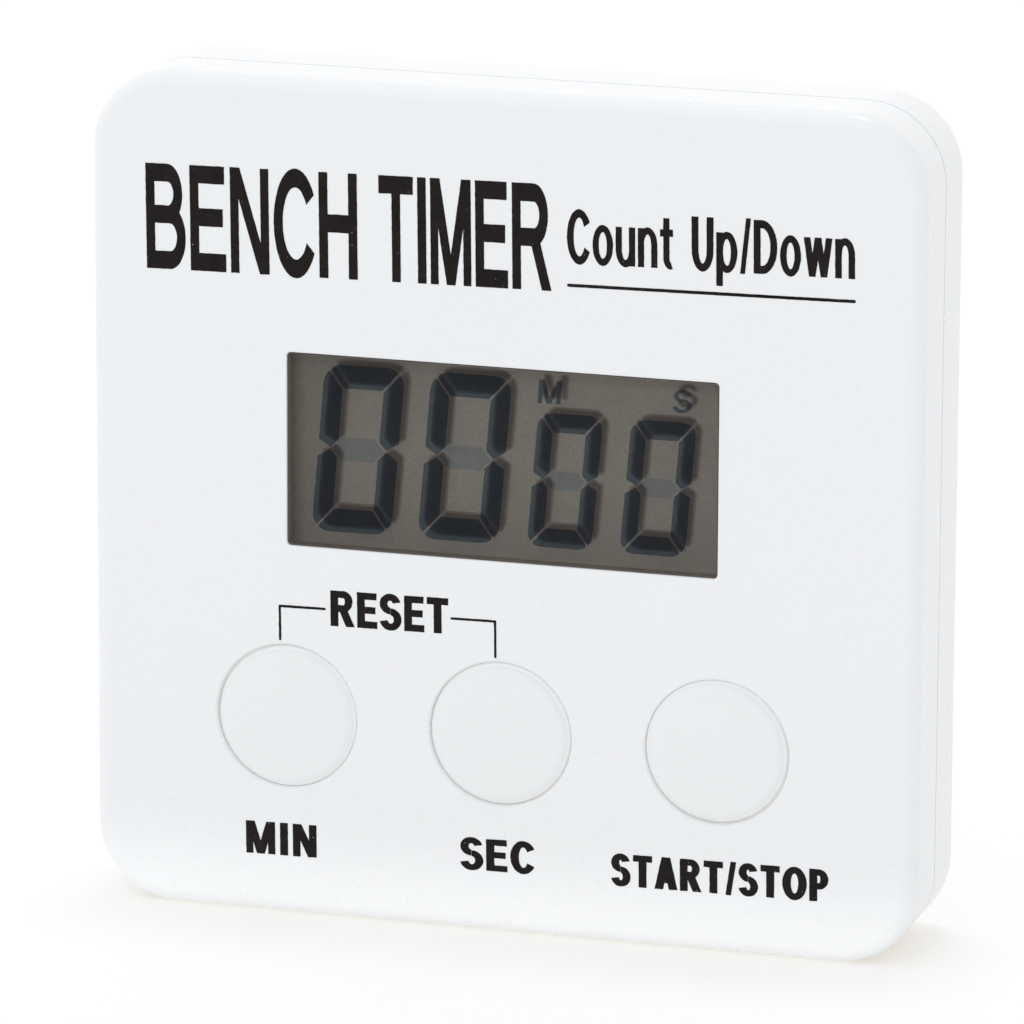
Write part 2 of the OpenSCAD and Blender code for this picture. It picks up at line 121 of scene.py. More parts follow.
# Buttons
BUTTONS = {"min_button": "min_key", "sec_button": "sec_key", "start_stop_button": "start_stop_key"}
KEY_PITCH = 16.59
KEY_Z = 15.33
HOLE_R = 5.5
CAP_R = 5.42
CAP_PROUD = FRONT_Y - node_box("sec_button")[0].y
CAP_FLANGE_R = 6.3
CAP_FLANGE_DEPTH = 1.65
CAP_FLANGE_T = 0.9
CAP_WALL = 1.1
STEM_R = 1.7
STEM_END = 3.38
STEM_CHAMFER = 0.2

# Stand
STAND_HALF_W = 18
LEG_W = 5
STAND_T = 2
STAND_BOTTOM = STAND_LOW.z
STAND_TOP = STAND_HIGH.z
FOOT_H = 6
PIVOT_Z = 37
PIVOT_DEPTH = CASE_DEPTH - STAND_T / 2
STAND_OPEN = 40
PIN_R = 0.6
PIN_REACH = 1.2
GROOVE_GAP = 0.25
GROOVE_TOP = 39.25
GROOVE_FLOOR = CASE_DEPTH - STAND_T - 0.1
GROOVE_SKIN = 1.2

# Battery bay, magnets and sounder
DOOR_Z = (DOOR_LOW.z + DOOR_HIGH.z) / 2
DOOR_R = 8.5
DOOR_T = CASE_DEPTH - BACK_INSIDE - 0.1
DOOR_GAP = 0.1
DOOR_TURN = 50
LUG_R = 9.5
LUG_HALF_ANGLE = 14
LUG_DEPTHS = (10.3, 11)
BAY_R = 9.95
BAY_FLOOR = 8.7
BAY_SKIN = 0.95
BAY_RIB_HALF_ANGLE = 3.4
RIB_CLEARANCE = 4               # in degrees, between a lug at the end of its turn and its rib
WELL_R = 6
WELL_FLOOR = 5.6
WELL_SKIN = 1
WELL_SKIN_START = 6.75
MAGNET_R = 4.5
MAGNET_T = 2
MAGNET_X = MAGNET_HIGH.x - MAGNET_R
MAGNET_Z = (MAGNET_LOW.z + MAGNET_HIGH.z) / 2
MAGNET_CUP_R = MAGNET_R + 1.05
MAGNET_CUP_START = CASE_DEPTH - MAGNET_T - 1.3
SOUND_Z = 22
SOUND_HOLE_R = 0.75
SOUND_RING_R = 3.6
SOUND_RING_COUNT = 8

# Display
LCD_DEPTH = 3.1
FILM_BACK = LCD_DEPTH - 0.02
FILM_T = 0.06


# ---- Outlines: each gives a list of (x, z), grown or drawn in by a margin ----

def rounded_box(half_w, half_h, r, x=0.0, z=0.0, steps=16):
    points = []
    for corner, (sx, sz) in enumerate(((1, 1), (-1, 1), (-1, -1), (1, -1))):
        for i in range(steps + 1):
            a = math.radians(90 * (corner + i / steps))
            points.append((x + sx * (half_w - r) + r * math.cos(a),
                           z + sz * (half_h - r) + r * math.sin(a)))
    return points


def case_outline(margin):
    half = CASE_HALF + margin
    return rounded_box(half, half, CORNER_R + margin, 0, CASE_MIDDLE, 24)


def window_outline(margin, r=0.3):
    return rounded_box(WINDOW_HALF_W + margin, WINDOW_HALF_H + margin, r, 0, WINDOW_Z, 6)


def round_outline(x, z, steps=96):
    return lambda r: [(x + r * math.cos(2 * math.pi * i / steps), z + r * math.sin(2 * math.pi * i / steps))
                      for i in range(steps)]


def stand_outline(margin):
    """The stand's groove: two legs and a foot."""
    out = STAND_HALF_W + margin
    inner = STAND_HALF_W - LEG_W - margin
    low = STAND_BOTTOM - margin
    top = GROOVE_TOP + margin
    foot = STAND_BOTTOM + FOOT_H + margin
    return [(out, low), (out, top), (inner, top), (inner, foot),
            (-inner, foot), (-inner, top), (-out, top), (-out, low)]


def door_sector(r_in, r_out, middle, half_angle, steps=10):
    """Part of a ring round the middle of the battery door."""
    points = []
    for r, direction in ((r_out, 1), (r_in, -1)):
        for i in range(steps + 1):
            a = math.radians(middle + direction * half_angle * (2 * i / steps - 1))
            points.append((r * math.cos(a), DOOR_Z + r * math.sin(a)))
    return points


def arc(margin, depth, r, start, end, steps=8):
    """Points of a quarter round as (margin, depth); angle 0 points outwards and 90 to the back."""
    turn = [math.radians(start + (end - start) * i / steps) for i in range(steps + 1)]
    return [(margin + r * math.cos(a), depth + r * math.sin(a)) for a in turn]


# ---- Mesh building ----

def spot(x, depth, z):
    return Vector((x, FRONT_Y + depth, z)) * MM


def new_object(name, bm):
    bmesh.ops.recalc_face_normals(bm, faces=bm.faces)
    mesh = bpy.data.meshes.new(name)
    bm.to_mesh(mesh)
    bm.free()
    piece = bpy.data.objects.new(name, mesh)
    bpy.context.scene.collection.objects.link(piece)
    return piece


def add_loft(bm, rings):
    """A closed solid through rings of points, capped at both ends."""
    loops = [[bm.verts.new(point) for point in ring] for ring in rings]
    for a, b in zip(loops, loops[1:]):
        for i in range(len(a)):
            j = (i + 1) % len(a)
            bm.faces.new((a[i], a[j], b[j], b[i]))
    bm.faces.new(loops[0])
    bm.faces.new(loops[-1])


def lofted(name, outline, profile):
    """A solid whose outline takes the margin and depth of each point of the profile in turn."""
    bm = bmesh.new()
    add_loft(bm, [[spot(x, depth, z) for x, z in outline(margin)] for margin, depth in profile])
    return new_object(name, bm)


def drum(x, z, r, start, end, steps=64):
    return lofted("drum", round_outline(x, z, steps), [(r, start), (r, end)])


def slab(points, start, end):
    return lofted("slab", lambda margin: points, [(0, start), (0, end)])


def block(x0, x1, z0, z1, start, end):
    return slab([(x0, z0), (x1, z0), (x1, z1), (x0, z1)], start, end)


def bar_along_x(x0, x1, r, depth, z, steps=40):
    """A round bar or hole along X."""
    bm = bmesh.new()
    turn = [2 * math.pi * i / steps for i in range(steps)]
    add_loft(bm, [[spot(x, depth + r * math.cos(a), z + r * math.sin(a)) for a in turn] for x in (x0, x1)])
    return new_object("bar", bm)


def bake(piece):
    """Makes the piece's modifiers part of its mesh."""
    bpy.context.view_layer.update()
    evaluated = piece.evaluated_get(bpy.context.evaluated_depsgraph_get())
    mesh = bpy.data.meshes.new_from_object(evaluated)
    piece.modifiers.clear()
    piece.data = mesh


def combine(piece, others, operation):
    for other in others:
        step = piece.modifiers.new("combine", "BOOLEAN")
        step.operation = operation
        step.solver = "EXACT"
        step.object = other
    bake(piece)
    for other in others:
        bpy.data.objects.remove(other)


def cut(piece, tools):
    combine(piece, tools, "DIFFERENCE")


def join(piece, parts):
    combine(piece, parts, "UNION")


def soften(piece, width):
    """Rounds a piece's edges."""
    step = piece.modifiers.new("soften", "BEVEL")
    step.width = width * MM
    step.segments = 2
    step.limit_method = "ANGLE"
    step.angle_limit = math.radians(35)
    bake(piece)


def smooth(piece, angle=32):
    piece.data.shade_smooth()
    piece.data.set_sharp_from_angle(angle=math.radians(angle))
    weighted = piece.modifiers.new("weighted", "WEIGHTED_NORMAL")
    weighted.keep_sharp = True


def place(piece, name, body, material, slot, *nodes):
    """Names a finished piece, dresses it and hangs it on its body."""
    piece.name = name
    piece.data.materials.clear()
    piece.data.materials.append(material)
    smooth(piece)
    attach(piece, body)
    if nodes:
        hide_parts(*nodes)
    return piece


# ---- Materials ----

def srgb(*levels):
    """A linear colour from 0-255 display levels."""
    unit = [level / 255 for level in levels]
    return tuple(u / 12.92 if u <= 0.04045 else ((u + 0.055) / 1.055) ** 2.4 for u in unit) + (1.0,)


def new_material(name):
    material = bpy.data.materials.new(name)
    material.use_nodes = True
    material.node_tree.nodes.clear()
    return material


def add(material, kind, inputs, **settings):
    node = material.node_tree.nodes.new("ShaderNode" + kind)
    for key, value in settings.items():
        setattr(node, key, value)
    for key, value in inputs.items():
        if isinstance(value, bpy.types.NodeSocket):
            material.node_tree.links.new(value, node.inputs[key])
        else:
            node.inputs[key].default_value = value
    return node


def show(material, shader):
    add(material, "OutputMaterial", {"Surface": shader.outputs[0]})
    return material


def object_place(material):
    return add(material, "TexCoord", {}).outputs["Object"]


def grain(material, size, detail=2.0, stretch=(1, 1, 1)):
    """Cloudy noise from 0 to 1 whose features are about `size` millimetres."""
    scaled = add(material, "Mapping", {"Vector": object_place(material), "Scale": stretch})
    inputs = {"Vector": scaled.outputs[0], "Scale": 1 / (size * MM), "Detail": detail}
    return add(material, "TexNoise", inputs).outputs["Fac"]


def spread(material, value, low, high, start=0.3, end=0.7):
    """Maps a value from start..end to low..high."""
    inputs = {"Value": value, "From Min": start, "From Max": end, "To Min": low, "To Max": high}
    return add(material, "MapRange", inputs).outputs[0]


def blend_colour(material, value, first, second):
    inputs = {0: value, 6: first, 7: second}
    return add(material, "Mix", inputs, data_type="RGBA").outputs[2]


def relief(material, value, height):
    """Bump of a height in millimetres."""
    return add(material, "Bump", {"Height": value, "Distance": height * MM, "Strength": 1.0}).outputs[0]


def depth_below(material, start, end):
    """0 at one depth behind the front face and 1 at another."""
    along = add(material, "SeparateXYZ", {"Vector": object_place(material)}).outputs["Y"]
    return spread(material, along, 0.0, 1.0, (FRONT_Y + start) * MM, (FRONT_Y + end) * MM)


def product(material, first, second):
    return add(material, "Math", {0: first, 1: second}, operation="MULTIPLY").outputs[0]


def facing_front(material):
    """1 on faces square to the front and 0 on walls that run back from it."""
    normal = add(material, "SeparateXYZ", {"Vector": add(material, "NewGeometry", {}).outputs["Normal"]})
    squareness = add(material, "Math", {0: normal.outputs["Y"]}, operation="ABSOLUTE")
    return add(material, "Math", {0: squareness.outputs[0], 1: 0.4}, operation="GREATER_THAN").outputs[0]


# Painted glow: how strong it is at the case's lowest edge, how high it reaches, and where it lights the gaps
# round the row of buttons.
PAINTED_BASE_GLOW = 0.14
PAINTED_BASE_GLOW_TOP = 0.3
KEY_ROW_HALF_W = 23
KEY_ROW_HALF_H = 7
KEY_ROW_FADE = 0.2
GAP_MOUTH = (0.04, 0.12)
GAP_DEPTHS = (0.3, 1.6)
GAP_END = (1.75, 1.85)
DEEP_GAIN = 1.8


def painted_gap_glow(material, strength):
    """Painted glow, no lamp: it stands in for the light that the translucent white plastic and the bright
    floor let into the gaps round the buttons and under the case's lowest edge.
    """
    in_case = add(material, "SeparateXYZ", {"Vector": object_place(material)})
    across = add(material, "Math", {0: in_case.outputs["X"]}, operation="ABSOLUTE").outputs[0]
    above_row = {0: in_case.outputs["Z"], 1: KEY_Z * MM}
    lifted = add(material, "Math", above_row, operation="SUBTRACT").outputs[0]
    up = add(material, "Math", {0: lifted}, operation="ABSOLUTE").outputs[0]
    in_width = spread(material, across, 1, 0, KEY_ROW_HALF_W * MM, (KEY_ROW_HALF_W + KEY_ROW_FADE) * MM)
    in_height = spread(material, up, 1, 0, KEY_ROW_HALF_H * MM, (KEY_ROW_HALF_H + KEY_ROW_FADE) * MM)
    near = product(material, in_width, in_height)
    # Painted glow in the button gaps, stronger deeper in.
    deeper = spread(material, depth_below(material, *GAP_DEPTHS), 1, DEEP_GAIN, 0, 1)
    mouth = product(material, depth_below(material, *GAP_MOUTH), deeper)
    in_gap = product(material, mouth, spread(material, depth_below(material, *GAP_END), 1, 0, 0, 1))
    keys = product(material, product(material, near, in_gap), strength)
    # Painted glow along the lowest edge, fading out just above the floor.
    low = spread(material, in_case.outputs["Z"], PAINTED_BASE_GLOW, 0, 0, PAINTED_BASE_GLOW_TOP * MM)
    return add(material, "Math", {0: keys, 1: low}, operation="ADD").outputs[0]


def moulded(name, colour, second, roughness=0.3, coat=0.0, orange_peel=0.0003, painted_glow=0.0):
    """Injection-moulded plastic: faint flow marks, slight mottling and orange peel, and where asked a painted
    glow in the button gaps and along the lowest edge.
    """
    material = new_material(name)
    flow = grain(material, 14, 3, (1, 1, 0.4))
    fine = grain(material, 0.35, 2)
    mottled = blend_colour(material, spread(material, flow, 0, 1), colour, second)
    peel = relief(material, grain(material, 0.9, 1), orange_peel)
    inputs = {
        "Base Color": mottled,
        "Roughness": spread(material, fine, roughness - 0.03, roughness + 0.04),
        "Normal": peel,
        "IOR": 1.5,
        "Coat Weight": coat,
    }
    # Painted glow, not a lamp: it lightens the button gaps and the lowest edge.
    if painted_glow:
        inputs["Emission Color"] = (0.96, 0.93, 0.86, 1)
        inputs["Emission Strength"] = painted_gap_glow(material, painted_glow)
        material.cycles.emission_sampling = "NONE"
    return show(material, add(material, "BsdfPrincipled", inputs))


def metal(name, colour, roughness, brushed=(1, 1, 1), scratch=0.0015, tarnish=None):
    """Metal with brushing or scuffs along the stretched direction."""
    material = new_material(name)
    lines = grain(material, 0.25, 4, brushed)
    clouds = grain(material, 3, 2)
    base = blend_colour(material, spread(material, clouds, 0, 1), colour, tarnish or colour)
    inputs = {
        "Base Color": base,
        "Metallic": 1.0,
        "Roughness": spread(material, lines, roughness - 0.07, roughness + 0.1),
        "Normal": relief(material, lines, scratch),
    }
    return show(material, add(material, "BsdfPrincipled", inputs))


def speckled(name, colour, second, size, roughness, height=0.004):
    """Matte stuff with fine specks: rubber, ceramic, foam or ferrite."""
    material = new_material(name)
    specks = grain(material, size, 4)
    inputs = {
        "Base Color": blend_colour(material, spread(material, specks, 0, 1, 0.4, 0.65), colour, second),
        "Roughness": spread(material, specks, roughness - 0.06, roughness + 0.06),
        "Normal": relief(material, specks, height),
    }
    return show(material, add(material, "BsdfPrincipled", inputs))


def dyed_film(name, colour, second, size):
    """A sheet inside the display that only tints the light."""
    material = new_material(name)
    tint = blend_colour(material, spread(material, grain(material, size, 2), 0, 1), colour, second)
    return show(material, add(material, "BsdfTransparent", {"Color": tint}))


def lens_material():
    """Clear polished front; the side walls are painted brown, a painted reflection of the dark display, with
    painted shade that makes them darker behind the case's lip.
    """
    material = new_material("clear_acrylic")
    through = add(material, "BsdfTransparent", {"Color": (0.97, 0.97, 0.96, 1)})
    gloss = add(material, "BsdfGlossy", {"Roughness": spread(material, grain(material, 0.5), 0.02, 0.05)})
    slanted = add(material, "LayerWeight", {"Blend": 0.5})
    mirror = spread(material, slanted.outputs["Facing"], 0, 0.6, 0.5, 1.0)
    face = add(material, "MixShader", {0: mirror, 1: through.outputs[0], 2: gloss.outputs[0]})
    # Painted reflection and painted shade on the side walls: brown, turning darker deeper behind the case's
    # lip.
    shade_behind_lip = depth_below(material, 0.6, 1.1)
    walls = blend_colour(material, shade_behind_lip, srgb(128, 118, 110), srgb(88, 80, 74))
    wall = add(material, "BsdfPrincipled", {"Base Color": walls, "Roughness": 0.5})
    both = {0: facing_front(material), 1: wall.outputs[0], 2: face.outputs[0]}
    return show(material, add(material, "MixShader", both))


def ink_material():
    """Screen-printed ink: dull brown-black with pinholes and a slightly uneven film."""
    material = new_material("black_ink")
    pinholes = spread(material, grain(material, 0.18, 3), 0, 1, 0.735, 0.75)
    patches = spread(material, grain(material, 1.2, 3), 0, 1)
    film = blend_colour(material, patches, srgb(19, 14, 14), srgb(30, 24, 23))
    colour = blend_colour(material, pinholes, film, srgb(150, 146, 144))
    inputs = {
        "Base Color": colour,
        "Roughness": spread(material, grain(material, 0.3, 3), 0.42, 0.6),
        "Specular IOR Level": 0.12,
        "Normal": relief(material, grain(material, 0.12, 3), 0.004),
    }
    return show(material, add(material, "BsdfPrincipled", inputs))


# Where the painted shadow of the window's left and top edges on the foil starts, and how far it fades.
PAINTED_SHADOW_LEFT = -WINDOW_HALF_W - 0.95
PAINTED_SHADOW_LEFT_FADE = 1
PAINTED_SHADOW_TOP = WINDOW_Z + WINDOW_HALF_H - 1.95
PAINTED_SHADOW_TOP_FADE = 0.4


def reflector_material():
    """Grainy grey foil with a painted glow that evens out its lighting, and painted shadow of the window's
    left and top edges.
    """
    material = new_material("grainy_reflector")
    flakes = grain(material, 0.12, 3)
    speckle = spread(material, flakes, 0, 1)
    foil = blend_colour(material, speckle, (0.256, 0.239, 0.23, 1), (0.332, 0.312, 0.298, 1))
    in_case = add(material, "SeparateXYZ", {"Vector": object_place(material)})
    left = PAINTED_SHADOW_LEFT * MM
    top = PAINTED_SHADOW_TOP * MM
    # Painted shadow: darker towards the window's left and top edges.
    shadow_from_left = spread(material, in_case.outputs["X"], 0.62, 1.0, left, left + PAINTED_SHADOW_LEFT_FADE * MM)
    shadow_from_top = spread(material, in_case.outputs["Z"], 1.0, 0.86, top, top + PAINTED_SHADOW_TOP_FADE * MM)
    edges = product(material, shadow_from_left, shadow_from_top)
    # The painted shadow, as a colour that multiplies the foil.
    lit = add(material, "CombineXYZ", {"X": edges, "Y": edges, "Z": edges})
    multiplied = {0: 1.0, 6: foil, 7: lit.outputs[0]}
    colour = add(material, "Mix", multiplied, data_type="RGBA", blend_type="MULTIPLY").outputs[2]
    inputs = {
        "Base Color": colour,
        "Roughness": 0.6,
        "Specular IOR Level": 0.2,
        "Normal": relief(material, flakes, 0.002),
        # Painted glow, not a lamp: the foil gives off its own colour to even out the shade inside the window.
        "Emission Color": colour,
        "Emission Strength": 0.5,
    }
    material.cycles.emission_sampling = "NONE"
    return show(material, add(material, "BsdfPrincipled", inputs))


def board_material():
    """Green solder mask over copper tracks, with a woven glass texture."""
    material = new_material("green_board")
    weave = add(material, "TexBrick", {
        "Vector": object_place(material), "Scale": 1 / (1.6 * MM), "Mortar Size": 0.06,
        "Color1": (0.015, 0.12, 0.05, 1), "Color2": (0.02, 0.16, 0.07, 1), "Mortar": (0.03, 0.24, 0.1, 1)})
    cloud = spread(material, grain(material, 5, 2), 0, 0.5)
    colour = blend_colour(material, cloud, weave.outputs["Color"], (0.01, 0.09, 0.04, 1))
    inputs = {
        "Base Color": colour,
        "Roughness": spread(material, grain(material, 0.3), 0.3, 0.42),
        "Normal": relief(material, weave.outputs["Fac"], 0.01),
        "Coat Weight": 0.3,
    }
    return show(material, add(material, "BsdfPrincipled", inputs))


def floor_material():
    """A lit studio table: pale paper with light coming through it, so that shadows stay soft and warm."""
    material = new_material("pale_floor")
    paper = blend_colour(material, grain(material, 40, 2), (0.575, 0.635, 0.715, 1), (0.58, 0.64, 0.72, 1))
    inputs = {
        "Base Color": paper,
        "Roughness": 1.0,
        "Specular IOR Level": 0.0,
        "Emission Color": (1.0, 0.845, 0.63, 1),
        "Emission Strength": 0.4,
    }
    return show(material, add(material, "BsdfPrincipled", inputs))


# Both white plastics carry a painted glow in the button gaps and along their lowest edge.
CASE_PLASTIC = moulded("white_case_plastic", (0.812, 0.829, 0.848, 1), (0.816, 0.833, 0.852, 1), 0.3,
                       painted_glow=0.085)
BUTTON_PLASTIC = moulded("white_button_plastic", (0.8, 0.817, 0.834, 1), (0.804, 0.821, 0.838, 1), 0.16,
                         painted_glow=0.11)
INNER_PLASTIC = moulded("natural_inner_plastic", (0.72, 0.70, 0.64, 1), (0.68, 0.66, 0.6, 1), 0.5)
LENS = lens_material()
INK = ink_material()
REFLECTOR = reflector_material()
BOARD = board_material()
POLARISER = dyed_film("grey_polariser", (0.785, 0.768, 0.757, 1), (0.795, 0.778, 0.767, 1), 0.4)
GLASS = dyed_film("display_glass", (0.97, 0.985, 0.98, 1), (0.98, 0.99, 0.985, 1), 2)
LIT_FILM = dyed_film("lit_segments", (0.59, 0.665, 0.745, 1), (0.61, 0.685, 0.765, 1), 0.2)
SHADE_FILM = dyed_film("segment_shade", (0.932, 0.926, 0.926, 1), (0.936, 0.93, 0.93, 1), 0.3)
UNLIT_FILM = dyed_film("unlit_segments", (0.88, 0.925, 0.965, 1), (0.89, 0.935, 0.975, 1), 0.3)
CARBON = speckled("carbon_rubber", (0.02, 0.02, 0.02, 1), (0.05, 0.05, 0.05, 1), 0.15, 0.75)
SILICONE = speckled("grey_silicone", (0.42, 0.43, 0.43, 1), (0.47, 0.48, 0.48, 1), 0.6, 0.55, 0.002)
EPOXY = moulded("black_epoxy", (0.012, 0.012, 0.013, 1), (0.02, 0.02, 0.021, 1), 0.16,
                coat=0.4, orange_peel=0.004)
TAN_CERAMIC = speckled("tan_ceramic", (0.42, 0.3, 0.18, 1), (0.5, 0.37, 0.23, 1), 0.12, 0.5)
WHITE_CERAMIC = speckled("silvered_ceramic", (0.8, 0.79, 0.75, 1), (0.66, 0.66, 0.65, 1), 0.25, 0.45)
FERRITE = speckled("ferrite_drum", (0.05, 0.04, 0.035, 1), (0.11, 0.085, 0.07, 1), 0.1, 0.6)
FOAM = speckled("foam_tape", (0.72, 0.72, 0.7, 1), (0.6, 0.6, 0.58, 1), 0.2, 0.85, 0.02)
SLEEVE = moulded("lead_sleeve", (0.32, 0.03, 0.025, 1), (0.25, 0.02, 0.02, 1), 0.42)
GOLD = metal("gold_plate", (0.86, 0.62, 0.24, 1), 0.25, tarnish=(0.8, 0.56, 0.22, 1))
BRASS = metal("rolled_brass", (0.78, 0.58, 0.25, 1), 0.32, (0.15, 1, 4), 0.002, (0.68, 0.5, 0.22, 1))
TIN = metal("tin_plate", (0.72, 0.72, 0.71, 1), 0.3)
CELL_STEEL = metal("cell_steel", (0.7, 0.7, 0.69, 1), 0.26, (4, 1, 0.2), 0.001, (0.62, 0.62, 0.61, 1))
SPRING = metal("spring_strip", (0.72, 0.71, 0.68, 1), 0.3, (0.1, 1, 3))
NICKEL = metal("nickel_plate", (0.62, 0.61, 0.59, 1), 0.22, (1.5, 1, 0.5), 0.0015, (0.5, 0.49, 0.47, 1))
ZINC = metal("zinc_plate", (0.5, 0.5, 0.5, 1), 0.36, tarnish=(0.42, 0.43, 0.43, 1))

# CAD nodes that stay, with the material of each
KEPT = {
    "min_contact_pill": CARBON, "sec_contact_pill": CARBON, "start_stop_contact_pill": CARBON,
    "keypad_mat": SILICONE, "key_contacts": GOLD, "circuit_board": BOARD,
    "lcd_front_polariser": POLARISER, "lcd_front_glass": GLASS, "lcd_rear_glass": GLASS,
    "lcd_rear_polariser": REFLECTOR, "lcd_holder": INNER_PLASTIC, "zebra_connector": CARBON,
    "controller_chip": EPOXY, "quartz_crystal": TIN, "chip_capacitors": TAN_CERAMIC,
    "chip_resistors": EPOXY, "boost_coil": FERRITE, "switching_transistor": EPOXY,
    "buzzer_plate": BRASS, "buzzer_ceramic": WHITE_CERAMIC, "buzzer_tape": FOAM,
    "buzzer_leads": SLEEVE, "button_cell": CELL_STEEL, "battery_contact_plus": SPRING,
    "battery_contact_minus": SPRING, "case_screws": ZINC, "board_screws": ZINC,
}


def dress_kept_nodes():
    for name, material in KEPT.items():
        node = NODES[name]
        node.data.materials.clear()
        node.data.materials.append(material)
        smooth(node)


# ---- Case ----

EDGE = 0.15


def lip(margin=0.0):
    """Profile of a cutter that enters the front face and rounds the edge it leaves."""
    return [(margin + EDGE, -0.2)] + arc(margin + EDGE, EDGE, -EDGE, 90, 0, 4)


def back_lip(margin=0.0):
    """The same for the back face."""
    turned = [(m, CASE_DEPTH - depth) for m, depth in arc(margin + EDGE, EDGE, -EDGE, 90, 0, 4)]
    return [(margin + EDGE, CASE_DEPTH + 0.2)] + turned


def on_both_sides(across, heights):
    return [(side * across, z) for side in (-1, 1) for z in heights]


def front_shell():
    profile = [(0, PARTING)] + arc(-FRONT_ROUND, FRONT_ROUND, FRONT_ROUND, 0, -90, 10)
    shell = lofted("front_shell_moulding", case_outline, profile)
    inner = -WALL
    corner = arc(inner - INSIDE_ROUND, WALL + INSIDE_ROUND, INSIDE_ROUND, 0, -90, 4)
    cavity = [(inner, PARTING + PAST), (inner, WALL + INSIDE_ROUND)] + corner
    rim = [(inner + RIM_STEP, PARTING - RIM_LAP), (inner + RIM_STEP, PARTING + PAST)]
    cut(shell, [lofted("cavity", case_outline, cavity), lofted("rim", case_outline, rim)])
    root = WALL - OVERLAP
    corners = on_both_sides(CORNER_POST_X, CORNER_POST_ZS)
    boards = on_both_sides(BOARD_POST_X, BOARD_POST_ZS)
    posts = [drum(x, z, CORNER_POST_R, root, CORNER_POST_END) for x, z in corners]
    posts += [drum(x, z, BOARD_POST_R, root, BOARD_POST_END) for x, z in boards]
    join(shell, posts)
    bore_end = CORNER_POST_END + PAST
    bores = [drum(x, z, *CORNER_PILOT, bore_end) for x, z in corners]
    bores += [drum(x, z, *BOARD_PILOT, bore_end) for x, z in boards]
    through = WALL + PAST
    window = lofted("window", window_outline, lip() + [(0, through)])
    seat = LENS_FLANGE + LENS_SEAT_GAP
    rebate = lofted("rebate", lambda m: window_outline(m, 0.6), [(seat, LENS_DEPTH), (seat, through)])
    holes = [lofted("hole", round_outline(i * KEY_PITCH, KEY_Z, 128), lip(HOLE_R) + [(HOLE_R, through)])
             for i in (-1, 0, 1)]
    cut(shell, bores + [window, rebate] + holes)
    return place(shell, "front_shell_moulding", "root", CASE_PLASTIC, "case_plastic", "front_shell")


def rear_shell():
    start = PARTING + SEAM
    profile = [(0, start)] + arc(-BACK_ROUND, CASE_DEPTH - BACK_ROUND, BACK_ROUND, 0, 90, 12)
    shell = lofted("rear_shell_moulding", case_outline, profile)
    tongue = -WALL + RIM_TONGUE
    tongue_start = PARTING - RIM_LAP + 0.1
    join(shell, [lofted("tongue", case_outline, [(tongue, tongue_start), (tongue, start + 1)])])
    inner = -WALL
    cavity = [(inner, tongue_start - PAST), (inner, BACK_INSIDE - INSIDE_ROUND)]
    cavity += arc(inner - INSIDE_ROUND, BACK_INSIDE - INSIDE_ROUND, INSIDE_ROUND, 0, 90, 4)
    cut(shell, [lofted("cavity", case_outline, cavity)])
    inside = BACK_INSIDE + OVERLAP
    corners = on_both_sides(CORNER_POST_X, CORNER_POST_ZS)
    parts = [drum(x, z, SLEEVE_R, SLEEVE_START, inside) for x, z in corners]
    parts += [drum(side * MAGNET_X, MAGNET_Z, MAGNET_CUP_R, MAGNET_CUP_START, inside) for side in (-1, 1)]
    skin = GROOVE_SKIN + GROOVE_GAP
    parts.append(lofted("groove_skin", stand_outline, [(skin, GROOVE_FLOOR - GROOVE_SKIN), (skin, inside)]))
    parts.append(drum(0, DOOR_Z, BAY_R + BAY_SKIN, BAY_FLOOR, inside, 96))
    parts.append(drum(0, DOOR_Z, WELL_R + WELL_SKIN, WELL_SKIN_START, BAY_FLOOR + OVERLAP, 96))
    join(shell, parts)
    cut(shell, stand_groove() + battery_bay() + back_holes())
    return place(shell, "rear_shell_moulding", "root", CASE_PLASTIC, "case_plastic", "rear_shell")


def stand_groove():
    groove = lofted("groove", stand_outline, back_lip(GROOVE_GAP) + [(GROOVE_GAP, GROOVE_FLOOR)])
    reach = PIN_REACH + 0.2
    x = STAND_HALF_W + 0.1
    hole_r = PIN_R + 0.05
    pivots = [bar_along_x(x, x + reach, hole_r, PIVOT_DEPTH, PIVOT_Z),
              bar_along_x(-x - reach, -x, hole_r, PIVOT_DEPTH, PIVOT_Z)]
    pocket_z = STAND_BOTTOM - GROOVE_GAP - 0.2
    pocket = lofted("finger_pocket", lambda m: rounded_box(6 + m, 1 + m, 0.6 + m, 0, pocket_z),
                    back_lip() + [(0, GROOVE_FLOOR + 0.4)])
    return [groove, pocket] + pivots


def battery_bay():
    mouth = DOOR_R + DOOR_GAP
    hole = lofted("hole", round_outline(0, DOOR_Z, 128), back_lip(mouth) + [(mouth, BACK_INSIDE - 0.01)])
    notch_half_angle = LUG_HALF_ANGLE + 2.5
    notches = [slab(door_sector(DOOR_R - 1, LUG_R + 0.2, side - DOOR_TURN, notch_half_angle),
                    BACK_INSIDE - 0.02, CASE_DEPTH + PAST) for side in (0, 180)]
    bay = drum(0, DOOR_Z, BAY_R, BAY_FLOOR + 1, BACK_INSIDE, 128)
    stops = (LUG_HALF_ANGLE + RIB_CLEARANCE, -DOOR_TURN - LUG_HALF_ANGLE - RIB_CLEARANCE)
    ribs = [slab(door_sector(DOOR_R + 0.25, BAY_R + 1, side + stop, BAY_RIB_HALF_ANGLE),
                 BAY_FLOOR, CASE_DEPTH) for side in (0, 180) for stop in stops]
    cut(bay, ribs)
    well = drum(0, DOOR_Z, WELL_R, WELL_FLOOR, BAY_FLOOR + 2, 96)
    contact_slot = block(5.3, 7.7, DOOR_Z - 2.3, DOOR_Z + 2.3, WELL_FLOOR, BAY_FLOOR + 1.5)
    return [hole, bay, well, contact_slot] + notches


